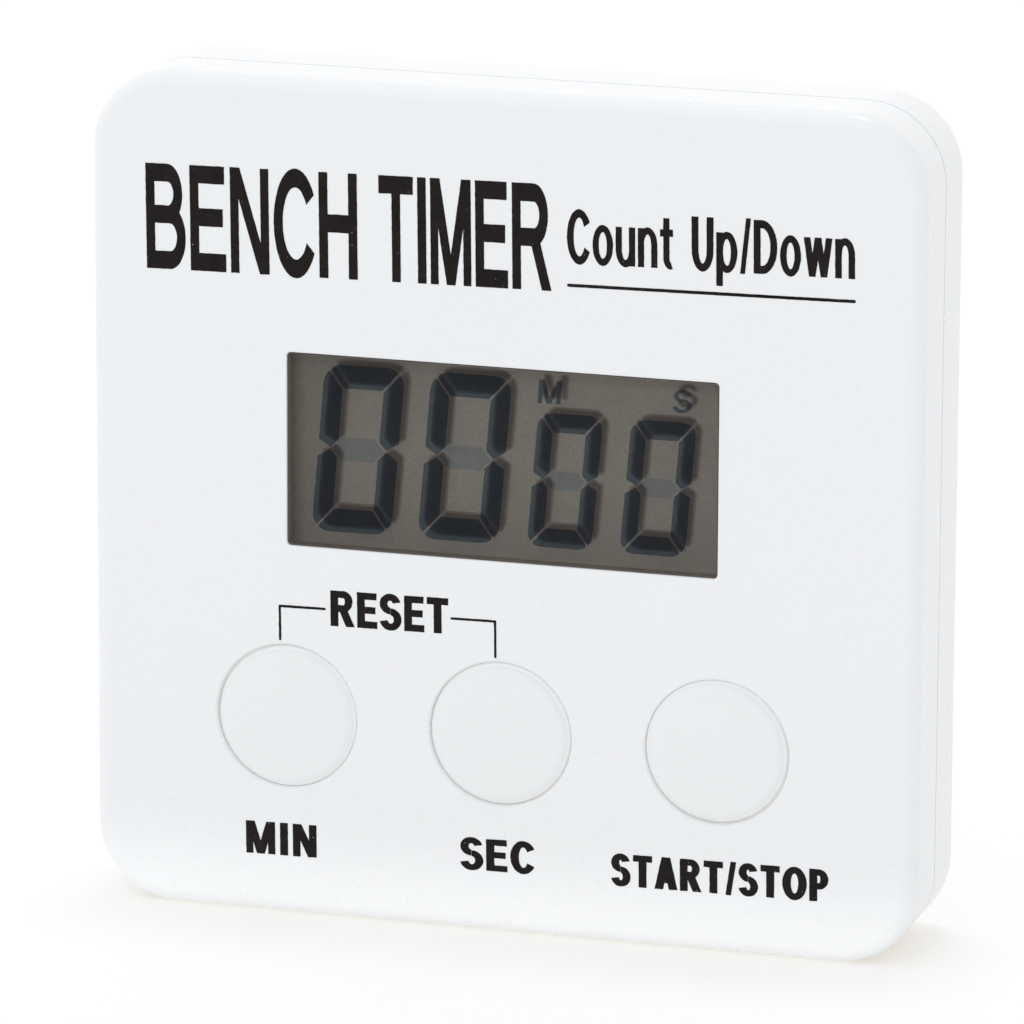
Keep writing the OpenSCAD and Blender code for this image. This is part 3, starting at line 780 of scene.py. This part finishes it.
def back_holes():
    """Magnet cups, screw holes and the sounder's holes."""
    cup = MAGNET_R + 0.05
    cup_side = back_lip(cup) + [(cup, CASE_DEPTH - MAGNET_T - 0.02)]
    head_side = back_lip(SCREW_HEAD_HOLE_R) + [(SCREW_HEAD_HOLE_R, SCREW_SEAT)]
    holes = []
    for side in (-1, 1):
        holes.append(lofted("magnet_cup", round_outline(side * MAGNET_X, MAGNET_Z), cup_side))
        for z in CORNER_POST_ZS:
            x = side * CORNER_POST_X
            holes.append(lofted("screw_recess", round_outline(x, z, 64), head_side))
            holes.append(drum(x, z, SCREW_SHANK_HOLE_R, 5, SCREW_SEAT + 1))
    places = [(0, 0)] + round_outline(0, 0, SOUND_RING_COUNT)(SOUND_RING_R)
    sound_side = back_lip(SOUND_HOLE_R) + [(SOUND_HOLE_R, BACK_INSIDE - 1)]
    for x, z in places:
        holes.append(lofted("sound_hole", round_outline(x, SOUND_Z + z, 40), sound_side))
    return holes


def window_lens():
    """A polished block that fills the window, on a flange behind it."""
    edge = 0.08
    gap = -0.05
    flange_start = LENS_DEPTH + 0.02
    front = arc(gap - edge, edge, edge, -90, 0, 3)
    profile = front + [(gap, flange_start), (LENS_FLANGE, flange_start), (LENS_FLANGE, WALL)]
    lens = lofted("lens", lambda m: window_outline(m, 0.25), profile)
    return place(lens, "window_lens_clear", "root", LENS, "lens", "window_lens")


# ---- Buttons ----

def button(node, body):
    """A shallow crowned cap with a soft edge, a retaining flange and a stem."""
    low, high = node_box(node)
    x, z = (low.x + high.x) / 2, (low.z + high.z) / 2
    edge = 0.9
    crown = 0.12
    crown_steps = 8
    flat_r = CAP_R - edge
    top = [(flat_r * i / crown_steps, -CAP_PROUD + crown * (i / crown_steps) ** 2)
           for i in range(1, crown_steps + 1)]
    rim = arc(flat_r, -CAP_PROUD + crown + edge, edge, -80, 0, 14)
    under = CAP_FLANGE_DEPTH + CAP_FLANGE_T
    flange = [(CAP_R, CAP_FLANGE_DEPTH), (CAP_FLANGE_R, CAP_FLANGE_DEPTH), (CAP_FLANGE_R, under)]
    hollow_r = CAP_R - CAP_WALL
    hollow = [(hollow_r, under), (hollow_r, CAP_WALL), (STEM_R, CAP_WALL)]
    stem = [(STEM_R, STEM_END - STEM_CHAMFER), (STEM_R - STEM_CHAMFER, STEM_END)]
    profile = top + rim + flange + hollow + stem
    cap = lofted("cap", round_outline(x, z, 128), profile)
    return place(cap, node + "_cap", body, BUTTON_PLASTIC, "button_plastic", node)


# ---- Stand, door and magnets ----

def kickstand():
    """Two legs with round hinge ends and heels, joined by a foot bar with grip ribs."""
    half_t = STAND_T / 2
    parts = [stand_leg(side) for side in (-1, 1)]
    foot_half_w = STAND_HALF_W - 1
    foot = block(-foot_half_w, foot_half_w, STAND_BOTTOM, STAND_BOTTOM + FOOT_H,
                 PIVOT_DEPTH - half_t, PIVOT_DEPTH + half_t)
    pins = [bar_along_x(STAND_HALF_W - 1, STAND_HALF_W + PIN_REACH, PIN_R, PIVOT_DEPTH, PIVOT_Z),
            bar_along_x(-STAND_HALF_W - PIN_REACH, 1 - STAND_HALF_W, PIN_R, PIVOT_DEPTH, PIVOT_Z)]
    join(foot, parts)
    ribs = [block(-6, 6, STAND_BOTTOM + z, STAND_BOTTOM + z + 0.5, CASE_DEPTH - 0.25, CASE_DEPTH + 1)
            for z in (1.2, 2.4, 3.6)]
    cut(foot, ribs)
    soften(foot, 0.2)
    join(foot, pins)
    return place(foot, "kickstand_moulding", "stand", CASE_PLASTIC, "case_plastic", "kickstand")


def stand_leg(side):
    half_t = STAND_T / 2
    heel_h = STAND_TOP - PIVOT_Z
    rise = math.radians(STAND_OPEN)
    heel_start = (PIVOT_DEPTH - half_t * math.cos(rise), PIVOT_Z + half_t * math.sin(rise))
    heel_run = (heel_h - half_t * math.sin(rise)) / math.cos(rise)
    heel_end = (heel_start[0] + heel_run * math.sin(rise), PIVOT_Z + heel_h)
    front, back = PIVOT_DEPTH - half_t, PIVOT_DEPTH + half_t
    hinge_steps = 6
    turns = [rise * i / hinge_steps for i in range(hinge_steps + 1)]
    hinge = [(PIVOT_DEPTH - half_t * math.cos(a), PIVOT_Z + half_t * math.sin(a)) for a in turns]
    side_view = [(front, STAND_BOTTOM)] + hinge + [heel_end, (back, STAND_TOP), (back, STAND_BOTTOM)]
    x_out = side * STAND_HALF_W
    x_in = side * (STAND_HALF_W - LEG_W)
    bm = bmesh.new()
    add_loft(bm, [[spot(x, depth, z) for depth, z in side_view] for x in (x_in, x_out)])
    return new_object("leg", bm)


def battery_door():
    """A coin-slotted disc with a finger rim and two bayonet lugs."""
    edge = 0.3
    rim = arc(DOOR_R - edge, CASE_DEPTH - edge, edge, 0, 90, 5)
    disc = lofted("door", round_outline(0, DOOR_Z, 128), [(DOOR_R, CASE_DEPTH - DOOR_T)] + rim)
    skirt = drum(0, DOOR_Z, DOOR_R, LUG_DEPTHS[0], CASE_DEPTH - DOOR_T + 0.05, 128)
    cut(skirt, [drum(0, DOOR_Z, WELL_R + 1.3, LUG_DEPTHS[0] - 1, CASE_DEPTH - DOOR_T, 96)])
    lugs = [slab(door_sector(DOOR_R - 0.5, LUG_R, side, LUG_HALF_ANGLE), *LUG_DEPTHS)
            for side in (0, 180)]
    join(disc, [skirt] + lugs)
    slot = lofted("slot", lambda m: rounded_box(5 + m, 0.8 + m, 0.75 + m, 0, DOOR_Z, 8),
                  back_lip() + [(0, CASE_DEPTH - 0.8)])
    cut(disc, [slot])
    return place(disc, "battery_door_moulding", "door", CASE_PLASTIC, "case_plastic", "battery_door")


def magnets():
    chamfer = 0.25
    profile = [(MAGNET_R - chamfer, CASE_DEPTH - MAGNET_T), (MAGNET_R, CASE_DEPTH - MAGNET_T + chamfer),
               (MAGNET_R, CASE_DEPTH - chamfer), (MAGNET_R - chamfer, CASE_DEPTH)]
    discs = [lofted("disc", round_outline(sx * MAGNET_X, MAGNET_Z), profile) for sx in (-1, 1)]
    join(discs[0], discs[1:])
    return place(discs[0], "plated_magnets", "root", NICKEL, "magnet_plating", "magnets")


# ---- Lettering: each letter is a list of strokes on a body 100 units high ----

def bar(x0, z0, x1, z1):
    return [(x0, z0), (x1, z0), (x1, z1), (x0, z1)]


def slant(x0, z0, x1, z1, width):
    return [(x0, z0), (x0 + width, z0), (x1 + width, z1), (x1, z1)]


def bow(x, z, rx, rz, start, end, stem, beam, steps=18):
    """Part of an oval stroke, from one angle to another."""
    points = []
    for half_w, half_h, direction in ((rx, rz, 1), (rx - stem, rz - beam, -1)):
        for i in range(steps + 1):
            share = i / steps if direction == 1 else 1 - i / steps
            a = math.radians(start + (end - start) * share)
            points.append((x + half_w * math.cos(a), z + half_h * math.sin(a)))
    return points


def oval(x, z, rx, rz, stem, beam):
    return [bow(x, z, rx, rz, -1, 181, stem, beam), bow(x, z, rx, rz, 180, 360, stem, beam)]


def bowl(stem, beam, right, low, high):
    """A round shoulder on a stem: two beams and the bow that joins them."""
    rz = (high - low) / 2
    rx = max(rz * 1.1, stem + 5)
    x = right - rx
    return [bar(stem - 1, high - beam, x + 1, high), bar(stem - 1, low, x + 1, low + beam),
            bow(x, low + rz, rx, rz, -90, 90, stem, beam)]


def letter_strokes(letter, stem, beam):
    """The strokes of one letter, for a stem width and a beam height."""
    upright = bar(0, 0, stem, 100)
    small, thin = 0.95 * stem, 0.9 * beam
    wide = 1.1 * stem
    m_w = 78 + 0.8 * stem
    return {
        "A": lambda: [slant(0, 0, 48 - wide / 2, 100, wide), slant(96 - wide, 0, 48 - wide / 2, 100, wide),
                      bar(20, 20, 76, 20 + beam)],
        "B": lambda: ([upright] + bowl(stem, beam, 77, 52 - beam / 2, 100)
                      + bowl(stem, beam, 83, 0, 52 + beam / 2)),
        "C": lambda: [bow(46, 50, 46, 52, 32, 328, 1.03 * stem, 1.05 * beam, 32)],
        "D": lambda: [upright] + bowl(stem, beam, 86, 0, 100),
        "E": lambda: [upright, bar(stem - 1, 100 - beam, 73, 100),
                      bar(stem - 1, 51 - beam / 2, 69, 51 + beam / 2), bar(stem - 1, 0, 75, beam)],
        "H": lambda: [upright, bar(80 - stem, 0, 80, 100),
                      bar(stem - 1, 52 - beam / 2, 81 - stem, 52 + beam / 2)],
        "I": lambda: [upright],
        "M": lambda: [bar(0, 0, 0.9 * stem, 100), bar(m_w - 0.9 * stem, 0, m_w, 100),
                      slant(m_w / 2 - stem / 2, 0, 0.1 * stem, 100, stem),
                      slant(m_w / 2 - stem / 2, 0, m_w - 1.1 * stem, 100, stem)],
        "N": lambda: [bar(0, 0, small, 100), bar(81 - small, 0, 81, 100), slant(81 - wide, 0, 0, 100, wide)],
        "O": lambda: oval(51, 50, 51, 52, 1.08 * stem, 1.05 * beam),
        "P": lambda: [upright] + bowl(stem, beam, 79, 37, 100),
        "R": lambda: [upright] + bowl(stem, beam, 83, 41, 100) + [slant(90 - wide, 0, 64 - wide, 46, wide)],
        "S": lambda: [bow(41, 73, 39, 29, 12, 270, stem, beam, 26),
                      bow(42, 29.5, 41, 31.5, -168, 90, stem, beam, 26)],
        "T": lambda: [bar(0, 100 - beam, 80, 100), bar(40 - stem / 2, 0, 40 + stem / 2, 101 - beam)],
        "U": lambda: [bar(0, 39, stem, 100), bar(80 - stem, 39, 80, 100),
                      bow(40, 40, 40, 42, 180, 360, stem, beam)],
        "n": lambda: [bar(0, 0, small, 73), bow(36, 42, 36, 33, 0, 180, small, thin),
                      bar(72 - small, 0, 72, 43)],
        "o": lambda: oval(38, 36.5, 38, 38.5, small, thin),
        "p": lambda: [bar(0, -27, small, 73)] + oval(39, 36.5, 38, 38.5, small, thin),
        "t": lambda: [bar(12, 19, 12 + small, 94), bar(0, 73 - thin, 25 + small, 73),
                      bow(12 + max(23, small + 3), 20, max(23, small + 3), 21.5, 180, 290, small, thin)],
        "u": lambda: [bar(72 - small, 0, 72, 73), bow(36, 31, 36, 33, 180, 360, small, thin),
                      bar(0, 30, small, 73)],
        "w": lambda: [slant(31 - small / 2, 0, 0, 73, small),
                      slant(31 - small / 2, 0, 52 - small / 2, 73, small),
                      slant(73 - small / 2, 0, 52 - small / 2, 73, small),
                      slant(73 - small / 2, 0, 104 - small, 73, small)],
        "/": lambda: [slant(0, -2, 22, 102, 0.7 * stem)],
        " ": lambda: [],
    }[letter]()


TITLE_BASE = 49
TITLE_H = 7.9
SUBTITLE_BASE = 51.15
SUBTITLE_H = 3.95
LETTER_GAP = 10
SPACE_WIDTH = 24
PRINT_TILT = math.radians(0.7)
INK_T = 0.02
BRACKET_W = 0.18
RAGGED = 0.018
RAGGED_STEP = 0.14


def lettering(text, left, right, base, height, depth, thickness, stem, beam, lean=0.0, gap=LETTER_GAP):
    """Letters as thin solids that fill the width from left to right."""
    letters = [letter_strokes(letter, stem, beam) for letter in text]
    spans = []
    for strokes in letters:
        xs = [x for stroke in strokes for x, z in stroke]
        spans.append((min(xs), max(xs)) if xs else (0, SPACE_WIDTH))
    total = sum(high - low for low, high in spans) + gap * (len(text) - 1)
    across = (right - left) / total
    up = height / 100
    pen = left
    done = []
    for strokes, (start, end) in zip(letters, spans):
        solids = [slab([(pen + (x - start) * across + z * up * lean, base + z * up) for x, z in stroke],
                       depth - thickness, depth) for stroke in strokes]
        if solids[1:]:
            join(solids[0], solids[1:])
        done += solids[:1]
        pen += (end - start + gap) * across
    return done


def merge(pieces):
    """One object that holds separate solids."""
    bm = bmesh.new()
    for piece in pieces:
        bm.from_mesh(piece.data)
    for piece in pieces:
        bpy.data.objects.remove(piece)
    return new_object("merged", bm)


def split_evenly(edge, cuts):
    """Adds points along an edge without joining them across its faces."""
    start, end = edge.verts
    rest = edge
    for left in range(cuts, 0, -1):
        made, point = bmesh.utils.edge_split(rest, start, 1 / (left + 1))
        rest = made if end in made.verts else rest
        start = point


def roughen(piece):
    """The slightly ragged outline of screen printing."""
    bm = bmesh.new()
    bm.from_mesh(piece.data)
    bm.normal_update()
    caps = [f for f in bm.faces if abs(f.normal.y) > 0.9]
    outline = {e for f in caps for e in f.edges if any(abs(g.normal.y) < 0.5 for g in e.link_faces)}
    for edge in sorted(outline, key=lambda e: e.index):
        split_evenly(edge, int(edge.calc_length() / (RAGGED_STEP * MM)))
    bmesh.ops.triangulate(bm, faces=bm.faces, ngon_method="EAR_CLIP")
    for v in bm.verts:
        at = Vector((v.co.x, 0, v.co.z)) / (0.35 * MM)
        v.co.x += RAGGED * MM * noise.noise(at)
        v.co.z += RAGGED * MM * noise.noise(at + Vector((7.3, 0, 1.9)))
    bm.to_mesh(piece.data)
    bm.free()


def tilt(piece):
    """Turns printing by the small angle at which it sits on the case."""
    foot = Matrix.Translation(spot(0, 0, 0))
    piece.data.transform(foot @ Matrix.Rotation(-PRINT_TILT, 4, "Y") @ foot.inverted())


def rule(x0, z0, x1, z1, width):
    """A thin printed line with round ends, from one point to another."""
    along = Vector((x1 - x0, z1 - z0)).normalized()
    angle = math.degrees(math.atan2(along.y, along.x))
    ends = []
    for x, z, start in ((x1, z1, -90), (x0, z0, 90)):
        for i in range(9):
            a = math.radians(angle + start + 180 * i / 8)
            ends.append((x + width / 2 * math.cos(a), z + width / 2 * math.sin(a)))
    return slab(ends, -INK_T, 0)


def bracket(post_x, line_x, low, high):
    """A corner line from a button up and across to the word between two brackets."""
    upright = rule(post_x, low, post_x, high, BRACKET_W)
    join(upright, [rule(post_x, high, line_x, high, BRACKET_W)])
    return upright


def printing(name, pieces):
    piece = merge(pieces)
    roughen(piece)
    tilt(piece)
    return place(piece, name, "root", INK, "case_plastic")


def prints():
    """The words and lines on the face. The last sizes of a word are its stem, its beam and its letter gap."""
    def word(text, left, right, base, height, stem, beam, gap=LETTER_GAP):
        return lettering(text, left, right, base, height, 0, INK_T, stem, beam, 0.0, gap)
    title = word("BENCH", -26.75, -10.4, TITLE_BASE, TITLE_H, 18.5, 17)
    title += word("TIMER", -8.74, 4.4, TITLE_BASE, TITLE_H, 20, 17)
    printing("print_title", title)
    subtitle = word("Count", 5.6, 13.6, SUBTITLE_BASE, SUBTITLE_H, 24, 15)
    subtitle += word("Up/Down", 15.0, 27.2, SUBTITLE_BASE, SUBTITLE_H, 25, 15)
    subtitle.append(rule(5.7, 49.5, 27.15, 49.5, 0.23))
    printing("print_subtitle", subtitle)
    reset = word("RESET", -12.84, -3.7, 22.7, 2.7, 29, 19.5)
    reset += [bracket(-16.8, -13.3, 21.4, 23.95), bracket(-0.1, -3.45, 21.2, 23.9)]
    printing("print_reset", reset)
    printing("print_min", word("MIN", -19.71, -14.17, 4.75, 2.5, 27, 18, 17))
    printing("print_sec", word("SEC", -2.94, 2.8, 4.78, 2.45, 29, 19))
    printing("print_start_stop", word("START/STOP", 8.72, 25.28, 4.42, 2.45, 33, 20))


# ---- Display ----

SLANT = math.tan(math.radians(4.9))
MITRE = 0.2
DISPLAY_LETTERS = (("M", 1.85, 3.6, 39.9, 1.75), ("S", 12.15, 13.55, 39.95, 1.7))
SHADE_DEPTH = 4.18
SHADE_STEP = -0.08
SHADE_SHIFTS = ((0.04, 0.06), (0.28, 0.08), (0.16, 0.2), (0.06, 0.3), (0.3, 0.34))


class Digit:
    """Sizes of one seven-part digit, upright, with its lower left corner at (x, z)."""

    def __init__(self, x, z, width, height, side_t, end_t):
        self.x, self.z, self.w, self.h = x, z, width, height
        self.side_t, self.end_t = side_t, end_t
        self.r = height * 0.11
        self.tip = side_t * 0.62

    def leaned(self, points):
        return [(self.x + x + z * SLANT, self.z + z) for x, z in points]


def end_segment(d):
    """The top part: rounded shoulders, cut along the mitres."""
    across = [(0.293 * d.r, d.h - 0.293 * d.r)]
    for i in range(1, 6):
        a = math.radians(135 - 45 * i / 5)
        across.append((d.r + d.r * math.cos(a), d.h - d.r + d.r * math.sin(a)))
    left = [(x + MITRE * 0.6, z) if i == 0 else (x, z) for i, (x, z) in enumerate(across)]
    right = [(d.w - x, z) for x, z in reversed(left)]
    inner = d.side_t + MITRE * 0.6
    return left + right + [(d.w - inner, d.h - d.end_t), (inner, d.h - d.end_t)]


def side_segment(d):
    """The upper left part: pointed towards the middle, mitred at the shoulder."""
    gap = MITRE / 2
    middle = d.h / 2
    points = [(0, middle + d.tip * 0.6 + gap), (0, d.h - d.r)]
    for i in range(1, 6):
        a = math.radians(180 - 45 * i / 5)
        points.append((d.r + d.r * math.cos(a), d.h - d.r + d.r * math.sin(a)))
    points[-1] = (points[-1][0], points[-1][1] - MITRE * 0.6)
    return points + [(d.side_t, d.h - d.end_t - MITRE * 0.6),
                     (d.side_t, middle + (d.side_t - d.tip) + gap), (d.tip, middle + gap)]


def middle_segment(d):
    """The bar across the middle, a flat hexagon."""
    rise = d.side_t - d.tip
    top = d.end_t / 2
    start = d.tip + top + MITRE * 0.5
    middle = d.h / 2
    left = [(d.tip + MITRE, middle), (start, middle + top)]
    right = [(d.w - start, middle + top), (d.w - d.tip - MITRE, middle)]
    below = [(d.w - start, middle - top), (start, middle - top)]
    return left + right + below


def flipped(d, points, across, over):
    return [(d.w - x if across else x, d.h - z if over else z) for x, z in points]


def film(points):
    return slab(points, FILM_BACK - FILM_T, FILM_BACK)


def shade(lit):
    """The soft shade that the dark segments cast on the foil: thin copies, each shifted a little more."""
    copies = []
    for i, (x, z) in enumerate(SHADE_SHIFTS):
        copy = bpy.data.objects.new("shade", lit.data.copy())
        bpy.context.scene.collection.objects.link(copy)
        copy.data.transform(Matrix.Translation(Vector((x, SHADE_DEPTH - LCD_DEPTH + SHADE_STEP * i, z)) * MM))
        copies.append(copy)
    return merge(copies)


def display_segments():
    big = dict(width=6.2, height=12.7, side_t=1.5, end_t=1.75)
    small = dict(width=4.95, height=10.15, side_t=1.2, end_t=1.42)
    digits = [Digit(-15.62, 28.96, **big), Digit(-7.36, 28.96, **big),
              Digit(1.08, 29.03, **small), Digit(8.2, 29.05, **small)]
    lit, unlit = [], []
    for d in digits:
        end, side = end_segment(d), side_segment(d)
        lit += [film(d.leaned(flipped(d, end, False, over))) for over in (False, True)]
        lit += [film(d.leaned(flipped(d, side, across, over)))
                for across in (False, True) for over in (False, True)]
        unlit.append(film(d.leaned(middle_segment(d))))
    for text, left, right, base, height in DISPLAY_LETTERS:
        lit += lettering(text, left, right, base, height, FILM_BACK, FILM_T, 19, 15, SLANT)
    lit = merge(lit)
    place(shade(lit), "lcd_segment_shade", "root", SHADE_FILM, "polariser")
    place(lit, "lcd_lit_segments", "root", LIT_FILM, "polariser")
    place(merge(unlit), "lcd_unlit_segments", "root", UNLIT_FILM, "polariser")


# ---- Studio, in metres and watts ----

FLOOR_SIZE = 4.0
SKY_LEFT, SKY_RIGHT = 1.12, 0.8
SKY_LOW, SKY_HIGH = 1.07, 0.86
CAMERA_PLACE = (0.1765, -0.57848, 0.1801)
CAMERA_AZIMUTH = math.radians(17.06)
CAMERA_ELEVATION = math.radians(13.87)
CAMERA_ROLL = math.radians(0.25)
FOCAL_LENGTH = 296.0            # in millimetres, like the sensor
SENSOR_WIDTH = 36.0


def floor():
    bm = bmesh.new()
    bmesh.ops.create_grid(bm, x_segments=2, y_segments=2, size=FLOOR_SIZE)
    ground = new_object("floor", bm)
    ground.location.z = cad_box[0].z
    ground.data.materials.append(floor_material())


def soft_light(name, width, height, power, at, towards, spread_angle=180):
    lamp = bpy.data.lights.new(name, "AREA")
    lamp.shape = "RECTANGLE"
    lamp.size = width
    lamp.size_y = height
    lamp.energy = power
    lamp.spread = math.radians(spread_angle)
    holder = bpy.data.objects.new(name, lamp)
    holder.location = at
    holder.rotation_euler = (Vector(towards) - Vector(at)).to_track_quat("-Z", "Y").to_euler()
    bpy.context.scene.collection.objects.link(holder)


def studio():
    scene = bpy.context.scene
    scene.view_settings.view_transform = "Standard"
    scene.cycles.transparent_max_bounces = 64
    world = bpy.data.worlds.new("studio")
    world.use_nodes = True
    sky = world.node_tree.nodes["Background"]
    towards = add(world, "SeparateXYZ", {"Vector": add(world, "TexCoord", {}).outputs["Generated"]})
    sideways = spread(world, towards.outputs["X"], SKY_LEFT, SKY_RIGHT, 0.0, 1.0)
    upwards = spread(world, towards.outputs["Z"], SKY_LOW, SKY_HIGH, 0.0, 1.0)
    strength = product(world, sideways, upwards)
    world.node_tree.links.new(strength, sky.inputs["Strength"])
    sky.inputs["Color"].default_value = (1, 1, 1, 1)
    scene.world = world
    floor()
    soft_light("overhead_softbox", width=0.14, height=0.12, power=0.68,
               at=(0, 0.085, 0.8), towards=(0, 0, 0))
    soft_light("high_front_panel", width=0.1, height=0.1, power=0.1,
               at=(-0.05, -0.61, 0.53), towards=(0, 0, 0.03))
    soft_light("low_front_strip", width=0.1, height=0.006, power=0.0003,
               at=(0, -0.2, 0.003), towards=(0, 0, 0.001), spread_angle=3)


def camera():
    """Looks down on the front from the right, through a long lens."""
    level = Vector((math.cos(CAMERA_AZIMUTH), math.sin(CAMERA_AZIMUTH), 0))
    ahead = math.cos(CAMERA_ELEVATION)
    forward = Vector((-level.y * ahead, level.x * ahead, -math.sin(CAMERA_ELEVATION)))
    upright = level.cross(forward)
    right = level * math.cos(CAMERA_ROLL) + upright * math.sin(CAMERA_ROLL)
    up = right.cross(forward)
    lens = bpy.data.cameras.new("camera")
    lens.lens = FOCAL_LENGTH
    lens.sensor_width = SENSOR_WIDTH
    holder = bpy.data.objects.new("camera", lens)
    turn = Matrix((right, up, -forward)).transposed().to_4x4()
    holder.matrix_world = Matrix.Translation(CAMERA_PLACE) @ turn
    bpy.context.scene.collection.objects.link(holder)
    bpy.context.scene.camera = holder


camera()
studio()
dress_kept_nodes()
front_shell()
rear_shell()
window_lens()
for node, body in BUTTONS.items():
    button(node, body)
kickstand()
battery_door()
magnets()
prints()
display_segments()
